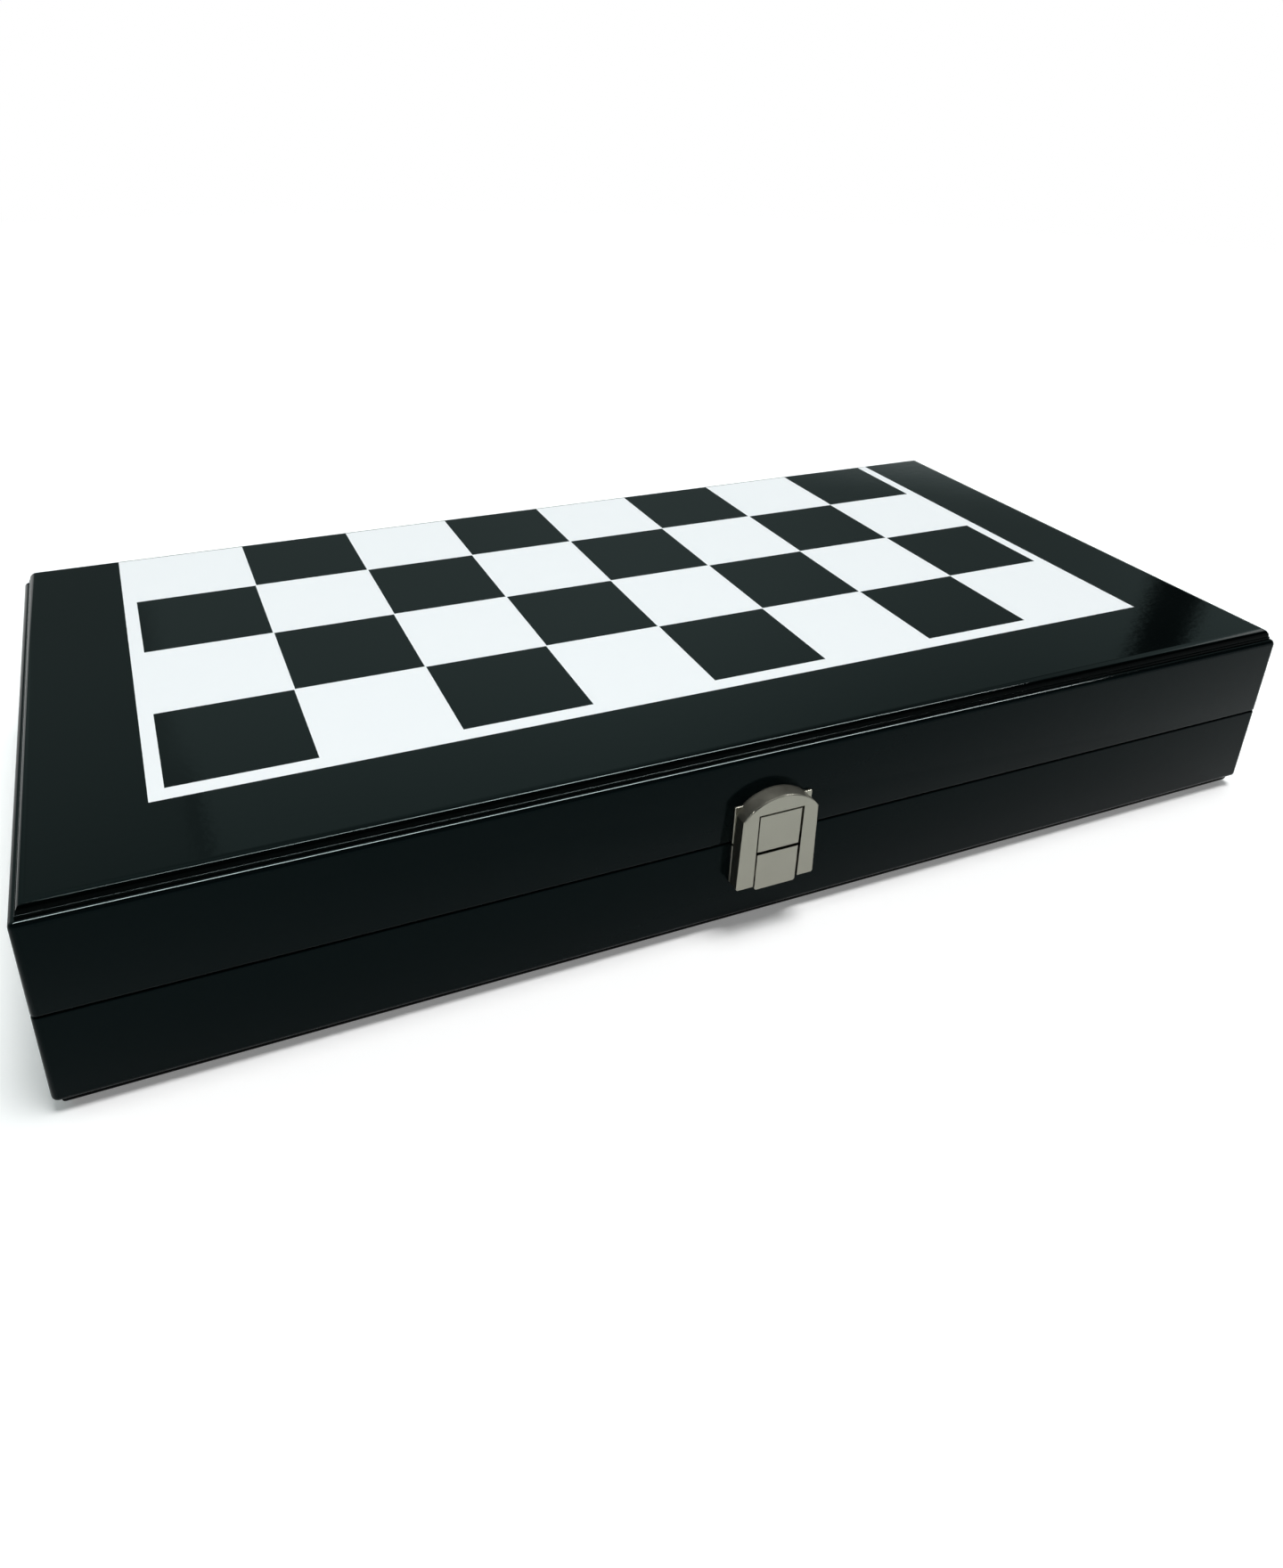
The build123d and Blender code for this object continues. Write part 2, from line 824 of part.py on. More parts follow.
with BuildPart() as foam_insert:
    with BuildSketch(Plane.XY.offset(bed_face)):
        Rectangle(inner_length - 2 * foam_clearance, inner_depth - 2 * foam_clearance)
        for _, radius, height, places in officers.values():
            with Locations(
                [(nest_middle(place), officer_foot - nest_clearance) for place in places]
            ):
                Rectangle(
                    2 * (radius + nest_clearance),
                    foot_nest_length,
                    align=(Align.CENTER, Align.MIN),
                    mode=Mode.SUBTRACT,
                )
                Rectangle(
                    officer_nest_width,
                    height + 2 * nest_clearance,
                    align=(Align.CENTER, Align.MIN),
                    mode=Mode.SUBTRACT,
                )
        with Locations(
            [
                (nest_middle(place), pawn_foot + nest_clearance)
                for place in range(men_in_row)
            ]
        ):
            Rectangle(
                2 * (pawn_radius + nest_clearance),
                foot_nest_length,
                align=(Align.CENTER, Align.MAX),
                mode=Mode.SUBTRACT,
            )
            Rectangle(
                pawn_nest_width,
                pawn_height + 2 * nest_clearance,
                align=(Align.CENTER, Align.MAX),
                mode=Mode.SUBTRACT,
            )
    extrude(amount=-insert_height)

# Pieces that both halves have
for side, left_end, right_end in (
    ("upper", left_rail, right_rail),
    ("lower", right_rail, left_rail),
):
    save_half(finished_panel.part, side, f"{side}_panel")
    save_half(board_print.part, side, f"{side}_board_print")
    save_half(steel_sheet.part, side, f"{side}_steel_sheet")
    save_half(left_end, side, f"{side}_left_rail")
    save_half(right_end, side, f"{side}_right_rail")
    save_half(rear_rail.part, side, f"{side}_rear_rail")
    save_half(foam_bed.part, side, f"{side}_foam_bed")
    save_half(foam_insert.part, side, f"{side}_foam_insert")
    save_half(hinge_screws.part, side, f"hinge_{side}_screws")

save_half(upper_front_rail.part, "upper", "upper_front_rail")
save_half(lower_front_rail, "lower", "lower_front_rail")
save_half(upper_leaves, "upper", "hinge_upper_leaves")
save_half(lower_leaves, "lower", "hinge_lower_leaves")
save_half(hinge_pins, "lower", "hinge_pins")

# The latch is drawn about the seam as it stands, so all of it is placed with the upper half
save_half(latch_upper_plate.part, "upper", "latch_upper_plate")
save_half(latch_lower_plate.part, "upper", "latch_lower_plate")
save_half(latch_nails(upper_nail_places), "upper", "latch_upper_nails")
save_half(latch_nails(lower_nail_places), "upper", "latch_lower_nails")
save_half(latch_cover.part, "upper", "latch_cover")
save_half(latch_button.part, "upper", "latch_button")
save_half(latch_tongue.part, "upper", "latch_tongue")
save_half(latch_spring.part, "upper", "latch_spring")

# Chessmen: the black set lies in the upper half, the white set in the lower
for colour, side in (("black", "upper"), ("white", "lower")):
    laid_officers = []
    for kind, (man, radius, _, places) in officers.items():
        planes = lying(radius, officer_foot, 1, places)
        laid_officers += planes
        with BuildPart() as laid:
            with Locations(planes):
                add(man)
        save_half(laid.part, side, f"{colour}_{kind}")
    laid_pawns = lying(pawn_radius, pawn_foot, -1, range(men_in_row))
    with BuildPart() as laid:
        with Locations(laid_pawns):
            add(pawn)
    save_half(laid.part, side, f"{colour}_pawns")
    with BuildPart() as laid:
        with Locations(laid_officers + laid_pawns):
            add(magnet.part)
    save_half(laid.part, side, f"{colour}_magnets")
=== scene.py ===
"""Looks of a folding chess set: lacquered case, printed board, press latch, foam trays and men."""

import logging
import math
from dataclasses import dataclass
from enum import Enum

import bmesh
import bpy
from bmesh.types import BMEdge, BMesh, BMVert
from bpy.types import Material, Mesh, Node, NodeSocket, Object, World
from mathutils import Matrix, Vector


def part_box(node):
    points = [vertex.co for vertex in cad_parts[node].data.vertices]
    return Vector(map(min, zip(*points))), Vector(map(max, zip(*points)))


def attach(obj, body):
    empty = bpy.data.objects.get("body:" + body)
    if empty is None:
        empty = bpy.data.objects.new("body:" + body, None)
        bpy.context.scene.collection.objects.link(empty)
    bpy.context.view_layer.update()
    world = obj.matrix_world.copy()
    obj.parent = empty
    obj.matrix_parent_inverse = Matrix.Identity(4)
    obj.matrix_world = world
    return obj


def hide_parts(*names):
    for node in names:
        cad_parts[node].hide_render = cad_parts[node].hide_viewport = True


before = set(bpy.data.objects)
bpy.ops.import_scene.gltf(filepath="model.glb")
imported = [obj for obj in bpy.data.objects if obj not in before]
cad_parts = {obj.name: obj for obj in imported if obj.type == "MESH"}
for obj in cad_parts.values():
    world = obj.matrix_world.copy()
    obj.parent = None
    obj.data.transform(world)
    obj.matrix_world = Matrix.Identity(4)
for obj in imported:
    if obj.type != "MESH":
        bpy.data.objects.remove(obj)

MM = 0.001
MERGED = 0.001 * MM
FLAT_DEGREES = 0.5
SHARP_DEGREES = 40.0
LOG = logging.getLogger("chess_set")
Span = tuple[float, float]
Point = tuple[float, float, float]
Colour = tuple[float, float, float]
WHITE: Colour = (1.0, 1.0, 1.0)


class Half(Enum):
    """The two halves of the case."""

    UPPER = "upper"
    LOWER = "lower"

    @property
    def body(self) -> str:
        """Name of the body that the half's pieces ride on."""
        return f"{self.value}_half"

    @property
    def men(self) -> str:
        """Colour of the men that lie in this half."""
        return "black" if self is Half.UPPER else "white"


class CaseFrame:
    """Planes of the closed case in metres, by which every piece of it is placed."""

    def __init__(self) -> None:
        """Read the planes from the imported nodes, mainly of the upper half."""
        rear_low, rear_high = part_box("upper_rear_rail")
        front_low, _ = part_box("upper_front_rail")
        panel_low, panel_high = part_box("upper_panel")
        _, lower_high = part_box("lower_rear_rail")
        self.left: float = rear_low.x
        self.right: float = rear_high.x
        self.front: float = front_low.y
        self.rear: float = rear_high.y
        self.rim: float = rear_low.z
        self.seam: float = (rear_low.z + lower_high.z) / 2
        self.ledge: float = panel_low.z
        self.top: float = panel_high.z
        self.wall: float = rear_high.y - rear_low.y

    def turn(self, half: Half) -> Matrix:
        """Matrix that takes a piece of the upper half to the given half.

        Args:
            half: The half that the piece belongs to.

        Returns:
            The identity, or half a turn about the depth axis at the seam.
        """
        if half is Half.UPPER:
            return Matrix.Identity(4)
        seam = Vector((0, 0, self.seam))
        turn = Matrix.Rotation(math.pi, 4, "Y")
        return Matrix.Translation(seam) @ turn @ Matrix.Translation(-seam)


CASE = CaseFrame()


class Nodes:
    """The node tree of a material or a world, built up by short calls."""

    def __init__(self, owner: Material | World) -> None:
        """Turn on the owner's nodes.

        Args:
            owner: The new material or world.
        """
        owner.use_nodes = True
        self.tree = owner.node_tree

    def node(self, kind: str, **settings: object) -> Node:
        """Add a node.

        Args:
            kind: Its type.
            settings: Its properties.

        Returns:
            The node.
        """
        made = self.tree.nodes.new(kind)
        for name, value in settings.items():
            setattr(made, name, value)
        return made

    def fill(self, node: Node, *first: object, **named: object) -> None:
        """Feed a node's inputs with outputs of other nodes or with plain values.

        Args:
            node: The node.
            first: What goes into its first inputs, in order.
            named: What goes into inputs by name, with spaces written as underscores.
        """
        pairs = list(zip(node.inputs, first))
        pairs += [(node.inputs[name.replace("_", " ")], named[name]) for name in named]
        for socket, value in pairs:
            if isinstance(value, NodeSocket):
                self.tree.links.new(value, socket)
            elif isinstance(value, tuple) and socket.type == "RGBA":
                socket.default_value = (*value, 1.0)
            else:
                socket.default_value = value

    def spread(
        self, source: NodeSocket, to: Span, over: Span = (0.3, 0.7), smooth: bool = False
    ) -> NodeSocket:
        """Map a value from one span to another.

        Args:
            source: The value.
            to: Results at both ends.
            over: Values at both ends.
            smooth: Whether the result eases in and out.

        Returns:
            The mapped value.
        """
        kind = "SMOOTHSTEP" if smooth else "LINEAR"
        mapped = self.node("ShaderNodeMapRange", interpolation_type=kind)
        self.fill(mapped, source, *over, *to)
        return mapped.outputs["Result"]

    def combine(
        self, operation: str, first: NodeSocket | float, second: NodeSocket | float = 0.0
    ) -> NodeSocket:
        """Work out an operation on two values.

        Args:
            operation: Blender's name of the operation.
            first: First value.
            second: Second value, unused where the operation takes one.

        Returns:
            The result.
        """
        made = self.node("ShaderNodeMath", operation=operation)
        self.fill(made, first, second)
        return made.outputs["Value"]

    def blend(self, factor: NodeSocket, first: Colour, second: Colour) -> NodeSocket:
        """Mix two colours by a value.

        Args:
            factor: Share of the second colour.
            first: Colour at 0.
            second: Colour at 1.

        Returns:
            The mixed colour.
        """
        mix = self.node("ShaderNodeMix", data_type="RGBA")
        self.fill(mix, Factor=factor, A=first, B=second)
        return next(output for output in mix.outputs if output.type == "RGBA")


@dataclass(frozen=True)
class Relief:
    """A layer of small bumps, with its scale and stretch in features per metre."""

    scale: float
    detail: float
    depth: float
    stretch: Point | None = None


class Shader(Nodes):
    """A node material with one Principled shader."""

    def __init__(self, name: str) -> None:
        """Make the material.

        Args:
            name: Name of the finish.
        """
        self.material = bpy.data.materials.new(name)
        super().__init__(self.material)
        self.surface = self.tree.nodes["Principled BSDF"]
        self.place = self.node("ShaderNodeTexCoord").outputs["Object"]

    def noise(self, scale: float, detail: float, stretch: Point | None = None) -> NodeSocket:
        """Noise over the surface.

        Args:
            scale: Number of features per metre.
            detail: Number of octaves.
            stretch: Further factors along X, Y and Z, or None.

        Returns:
            The noise, around one half.
        """
        place = self.place
        if stretch:
            mapping = self.node("ShaderNodeMapping")
            self.fill(mapping, Vector=place, Scale=stretch)
            place = mapping.outputs["Vector"]
        texture = self.node("ShaderNodeTexNoise")
        self.fill(texture, Vector=place, Scale=scale, Detail=detail)
        return texture.outputs["Fac"]

    def bump(self, relief: Relief, under: NodeSocket | None) -> NodeSocket:
        """Turn a layer of bumps into a normal.

        Args:
            relief: The layer.
            under: Normal of the layer below, or None.

        Returns:
            The normal.
        """
        bump = self.node("ShaderNodeBump")
        height = self.noise(relief.scale, relief.detail, relief.stretch)
        self.fill(bump, Height=height, Distance=relief.depth)
        if under:
            self.fill(bump, Normal=under)
        return bump.outputs["Normal"]


@dataclass(frozen=True)
class Finish:
    """Two colours mixed in clouds, a roughness that follows the clouds, and layers of bumps.

    Where a cloud span is given, the colours mix over that part of the clouds alone.
    """

    name: str
    colour: Colour
    second: Colour
    gloss: float
    dull: float
    reliefs: tuple[Relief, ...]
    cloud_scale: float = 160.0
    cloud_detail: float = 4.0
    cloud_span: Span | None = None
    metallic: float = 0.0
    specular: float = 0.5
    tint: Colour = WHITE
    sheen: float = 0.0
    subsurface: float = 0.0
    subsurface_radius: Point = (4 * MM, 3 * MM, 2 * MM)

    def material(self) -> Material:
        """Build the material.

        Returns:
            The new material.
        """
        shader = Shader(self.name)
        cloud = shader.noise(self.cloud_scale, self.cloud_detail)
        share = shader.spread(cloud, (0.0, 1.0), self.cloud_span) if self.cloud_span else cloud
        roughness = self.gloss
        if self.dull > self.gloss:
            roughness = shader.spread(cloud, (self.gloss, self.dull))
        normal = None
        for relief in self.reliefs:
            normal = shader.bump(relief, normal)
        shader.fill(
            shader.surface,
            Base_Color=shader.blend(share, self.colour, self.second),
            Metallic=self.metallic,
            Roughness=roughness,
            Specular_IOR_Level=self.specular,
            Specular_Tint=self.tint,
            Sheen_Weight=self.sheen,
            Subsurface_Weight=self.subsurface,
            Subsurface_Radius=self.subsurface_radius,
            Normal=normal,
        )
        return shader.material


@dataclass(frozen=True)
class Lacquer(Finish):
    """Polished black lacquer on wood, with wiped marks, a faint orange peel and grain."""

    name: str = "black lacquer"
    colour: Colour = (0.0008, 0.0015, 0.0016)
    second: Colour = (0.0014, 0.0024, 0.0025)
    gloss: float = 0.05
    dull: float = 0.08
    cloud_scale: float = 22.0
    cloud_detail: float = 5.0
    reliefs: tuple[Relief, ...] = (
        Relief(420.0, 2.0, 0.012 * MM),
        Relief(1.0, 3.0, 0.006 * MM, (6.0, 260.0, 260.0)),
    )
    specular: float = 0.15
    tint: Colour = (0.8, 1.0, 1.0)


@dataclass(frozen=True)
class Print(Finish):
    """White screen print under clear lacquer."""

    name: str = "white print"
    colour: Colour = (0.913, 0.914, 0.935)
    second: Colour = (0.925, 0.925, 0.945)
    gloss: float = 0.32
    dull: float = 0.32
    cloud_detail: float = 6.0
    reliefs: tuple[Relief, ...] = (Relief(900.0, 2.0, 0.008 * MM),)
    specular: float = 0.35


@dataclass(frozen=True)
class Metal(Finish):
    """Plated or bare metal with fine brushing and a little tarnish."""

    cloud_scale: float = 140.0
    reliefs: tuple[Relief, ...] = (Relief(1.0, 2.0, 0.006 * MM, (1800.0, 1800.0, 60.0)),)
    metallic: float = 1.0


@dataclass(frozen=True)
class Flock(Finish):
    """Short flock or felt: matt, soft and slightly uneven, with paler tips."""

    gloss: float = 0.95
    dull: float = 0.95
    cloud_scale: float = 2600.0
    cloud_detail: float = 2.0
    cloud_span: Span | None = (0.42, 0.72)
    reliefs: tuple[Relief, ...] = (
        Relief(90.0, 3.0, 0.22 * MM),
        Relief(2600.0, 2.0, 0.16 * MM),
    )
    specular: float = 0.15
    sheen: float = 0.35


@dataclass(frozen=True)
class MouldedPlastic(Finish):
    """Satin moulded plastic of the chessmen."""

    reliefs: tuple[Relief, ...] = (Relief(1500.0, 2.0, 0.01 * MM),)


class Finishes:
    """Every material of the set, made once."""

    def __init__(self) -> None:
        """Build all finishes."""
        self.lacquer = Lacquer().material()
        # The next finish is a darker, less mirroring copy of the one black lacquer, given to the
        # steep faces of the walls: painted shade.
        self.side_lacquer = Lacquer(
            "shaded side lacquer", (0.0010, 0.0024, 0.0028), (0.0014, 0.0031, 0.0035), 0.1, 0.14,
            specular=0.045, tint=(0.65, 1.0, 1.0),
        ).material()
        # The moulding's steep faces get a darker, barely mirroring copy of the lacquer: painted
        # shade that makes the moulding black.
        self.moulding_lacquer = Lacquer(
            "shaded moulding lacquer", (0.0003, 0.0006, 0.0006), (0.0005, 0.0009, 0.0009), 0.08, 0.12,
            specular=0.02,
        ).material()
        self.print = Print().material()
        self.nickel, self.hinge, self.screw, self.sheet, self.spring, self.magnet = (
            Metal(*settings).material()
            for settings in (
                ("satin nickel", (0.27, 0.265, 0.224), (0.25, 0.245, 0.207), 0.28, 0.33),
                ("nickelled steel", (0.52, 0.51, 0.47), (0.42, 0.4, 0.36), 0.24, 0.36),
                ("zinc screws", (0.3, 0.3, 0.31), (0.22, 0.22, 0.22), 0.3, 0.42),
                ("tinned sheet", (0.5, 0.51, 0.52), (0.4, 0.41, 0.42), 0.3, 0.45),
                ("spring steel", (0.2, 0.23, 0.28), (0.3, 0.27, 0.22), 0.22, 0.34),
                ("ferrite", (0.05, 0.048, 0.05), (0.08, 0.075, 0.07), 0.5, 0.65),
            )
        )
        self.foam = Flock("flocked foam", (0.007, 0.007, 0.0075), (0.03, 0.03, 0.032)).material()
        self.felt = Flock(
            "green felt", (0.012, 0.05, 0.022), (0.03, 0.09, 0.045), cloud_scale=3200.0,
            reliefs=(Relief(90.0, 3.0, 0.22 * MM), Relief(3200.0, 2.0, 0.1 * MM)),
        ).material()
        self.men = {
            "white": MouldedPlastic(
                "ivory plastic", (0.78, 0.74, 0.62), (0.7, 0.65, 0.53), 0.26, 0.36, subsurface=0.08
            ).material(),
            "black": MouldedPlastic(
                "black plastic", (0.010, 0.010, 0.011), (0.017, 0.017, 0.018), 0.24, 0.34
            ).material(),
        }


def crease(mesh: Mesh, angle: float) -> None:
    """Keep the edges of a mesh sharp where they turn by more degrees than the angle."""
    mesh.set_sharp_from_angle(angle=math.radians(angle))


def solid(
    name: str, shape: BMesh, material: Material, sharp_angle: float = SHARP_DEGREES
) -> Object:
    """Turn a finished bmesh into an object of the scene.

    Args:
        name: Name of the piece.
        shape: The mesh, in place in the frame; it is freed.
        material: Its finish.
        sharp_angle: Edges that turn by more degrees than this stay sharp.

    Returns:
        The new object, at the origin.
    """
    bmesh.ops.recalc_face_normals(shape, faces=shape.faces)
    mesh = bpy.data.meshes.new(name)
    shape.to_mesh(mesh)
    shape.free()
    mesh.shade_smooth()
    crease(mesh, sharp_angle)
    mesh.materials.append(material)
    piece = bpy.data.objects.new(name, mesh)
    bpy.context.scene.collection.objects.link(piece)
    return piece


def soften(piece: Object, width: float, segments: int = 2, angle: float = 60.0) -> None:
    """Round the sharp edges of a piece with a live bevel.

    Args:
        piece: The piece.
        width: Width of the rounding in metres.
        segments: Number of faces across it.
        angle: Edges that turn by more degrees than this are rounded.
    """
    bevel = piece.modifiers.new("edges", "BEVEL")
    bevel.width = width
    bevel.segments = segments
    bevel.limit_method = "ANGLE"
    bevel.angle_limit = math.radians(angle)
    bevel.harden_normals = True
    bevel.use_clamp_overlap = True


def block(low: Point, high: Point) -> BMesh:
    """A box between two corners.

    Args:
        low: Lowest corner.
        high: Highest corner.

    Returns:
        The box as a new bmesh.
    """
    shape = bmesh.new()
    size = Vector(high) - Vector(low)
    middle = (Vector(high) + Vector(low)) / 2
    bmesh.ops.create_cube(shape, size=1.0, matrix=Matrix.LocRotScale(middle, None, size))
    return shape


def near(a: float, b: float, slack: float = 0.01 * MM) -> bool:
    """Whether two lengths are the same to within the slack."""
    return abs(a - b) < slack


def level_edges(shape: BMesh, height: float, rear: bool = False) -> list[BMEdge]:
    """Edges at a height, either those in the rear plane of the case or all others.

    Args:
        shape: The mesh.
        height: Their height.
        rear: Whether the edges in the rear plane are meant.

    Returns:
        The edges.
    """
    return [
        edge
        for edge in shape.edges
        if all(near(vert.co.z, height) for vert in edge.verts)
        and all(near(vert.co.y, CASE.rear) for vert in edge.verts) == rear
    ]


def round_edges(shape: BMesh, edges: list[BMEdge], radius: float, segments: int) -> None:
    """Round some edges of a mesh.

    Args:
        shape: The mesh.
        edges: The edges.
        radius: Radius of the rounding.
        segments: Number of faces across it.
    """
    bmesh.ops.bevel(
        shape,
        geom=edges,
        offset=radius,
        segments=segments,
        profile=0.5,
        affect="EDGES",
        material=-1,
        clamp_overlap=False,
    )


def cut_away(piece: Object, cutters: list[BMesh]) -> None:
    """Subtract shapes from a piece and keep the result as its mesh.

    Args:
        piece: The piece to cut.
        cutters: Shapes to take away; they are freed.
    """
    helpers = [solid("cutter", cutter, piece.data.materials[0]) for cutter in cutters]
    for helper in helpers:
        cut = piece.modifiers.new("cut", "BOOLEAN")
        cut.operation = "DIFFERENCE"
        cut.solver = "EXACT"
        cut.object = helper
    bpy.context.view_layer.update()
    evaluated = piece.evaluated_get(bpy.context.evaluated_depsgraph_get())
    result = bpy.data.meshes.new_from_object(evaluated)
    piece.modifiers.clear()
    piece.data = result
    for helper in helpers:
        bpy.data.objects.remove(helper)


def copy_of(node: str) -> BMesh:
    """Mesh of a CAD node, with its triangles joined and flat faces made whole.

    Args:
        node: Name of the node.

    Returns:
        The mesh as a new bmesh.
    """
    shape = bmesh.new()
    shape.from_mesh(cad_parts[node].data)
    bmesh.ops.remove_doubles(shape, verts=shape.verts, dist=MERGED)
    bmesh.ops.dissolve_limit(
        shape, angle_limit=math.radians(FLAT_DEGREES), verts=shape.verts, edges=shape.edges
    )
    return shape


def dress(node: str, material: Material) -> None:
    """Give a CAD node its finish.

    Args:
        node: Name of the node.
        material: The finish.
    """
    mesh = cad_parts[node].data
    mesh.materials.clear()
    mesh.materials.append(material)


def polish(piece: Object, material: Material, slope: float = 0.7) -> None:
    """Give the faces that lie flat enough a second finish, the plain lacquer, while the steeper
    faces keep the first finish, a darker copy of it that paints shade on them.

    Args:
        piece: The piece, in its first finish, the darker copy with painted shade.
        material: The plain lacquer of the flat faces.
        slope: Height of the face normal, either way, from which a face gets the plain lacquer.
    """
    piece.data.materials.append(material)
    for face in piece.data.polygons:
        if abs(face.normal.z) > slope:
            face.material_index = 1


def fit(piece: Object, body: str, slot: str, *nodes: str) -> None:
    """Fix a piece to its body and let it stand for CAD nodes.

    Args:
        piece: The finished piece.
        body: Body that it rides on.
        slot: Material slot of the record; not used.
        nodes: CAD nodes that it replaces.
    """
    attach(piece, body)
    if nodes:
        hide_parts(*nodes)
    LOG.info("%s rides on %s", piece.name, body)


@dataclass
class Walls:
    """Front and end walls of one half, lacquered over their mitres, and the rear wall."""

    half: Half
    finishes: Finishes
    corner_radius: float = 1.8 * MM
    shoulder_radius: float = 1.6 * MM
    rim_radius: float = 0.6 * MM
    pocket_reach: float = 6.35 * MM
    pocket_depth: float = 3.4 * MM
    pocket_top: float = 10.6 * MM
    edge: float = 0.25 * MM
    rear_edge: float = 0.12 * MM
    corner_steps: int = 8
    rim_steps: int = 4

    def outer_block(self) -> BMesh:
        """The ring's outer shape as a solid block, rounded where the walls show.

        Returns:
            The block.
        """
        shape = block((CASE.left, CASE.front, CASE.rim), (CASE.right, CASE.rear, CASE.ledge))
        corners = [
            edge
            for edge in shape.edges
            if all(near(vert.co.y, CASE.front) for vert in edge.verts)
            and near(*(vert.co.x for vert in edge.verts))
        ]
        round_edges(shape, corners, self.corner_radius, self.corner_steps)
        shoulder = level_edges(shape, CASE.ledge)
        round_edges(shape, shoulder, self.shoulder_radius, self.corner_steps)
        round_edges(shape, level_edges(shape, CASE.rim), self.rim_radius, self.rim_steps)
        return shape

    def hollow(self) -> BMesh:
        """The space between the walls.

        Returns:
            The shape to cut away.
        """
        return block(
            (CASE.left + CASE.wall, CASE.front + CASE.wall, CASE.rim - CASE.wall),
            (CASE.right - CASE.wall, CASE.rear - CASE.wall, CASE.ledge + CASE.wall),
        )

    def rear_mitres(self) -> BMesh:
        """The space of the rear rail, with its mitred ends.

        Returns:
            The shape to cut away.
        """
        shape = block(
            (CASE.left - CASE.wall, CASE.rear - CASE.wall, CASE.rim - CASE.wall),
            (CASE.right + CASE.wall, CASE.rear + CASE.wall, CASE.ledge + CASE.wall),
        )
        for vert in shape.verts:
            outwards = CASE.wall if vert.co.y > CASE.rear else -CASE.wall
            left = vert.co.x < 0
            vert.co.x = CASE.left - outwards if left else CASE.right + outwards
        return shape

    def latch_pocket(self) -> BMesh:
        """The pocket that the catch works in, let into the upper front wall.

        Returns:
            The shape to cut away.
        """
        low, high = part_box("latch_tongue")
        middle = (low.x + high.x) / 2
        reach = self.pocket_reach
        return block(
            (middle - reach, CASE.front - CASE.wall, CASE.seam - self.pocket_top),
            (middle + reach, CASE.front + self.pocket_depth, CASE.seam + self.pocket_top),
        )

    def build(self) -> None:
        """Make the front and end walls in one, and the rear wall."""
        name = self.half.value
        # The walls are made in the darker copy of the lacquer, which is painted shade; the call
        # below gives their flat faces the plain lacquer, so only the steep sides stay shaded.
        walls = solid(f"{name}_walls", self.outer_block(), self.finishes.side_lacquer)
        cutters = [self.hollow(), self.rear_mitres()]
        if self.half is Half.UPPER:
            cutters.append(self.latch_pocket())
        cut_away(walls, cutters)
        polish(walls, self.finishes.lacquer)
        walls.data.transform(CASE.turn(self.half))
        crease(walls.data, SHARP_DEGREES)
        soften(walls, self.edge)
        rails = [f"{name}_{side}_rail" for side in ("front", "left", "right")]
        fit(walls, self.half.body, "black_lacquer", *rails)
        rear_rail = f"{name}_rear_rail"
        # The rear wall is wholly in the darker copy of the lacquer: painted shade.
        rear = solid(f"{name}_rear_wall", copy_of(rear_rail), self.finishes.side_lacquer)
        soften(rear, self.rear_edge)
        fit(rear, self.half.body, "black_lacquer", rear_rail)


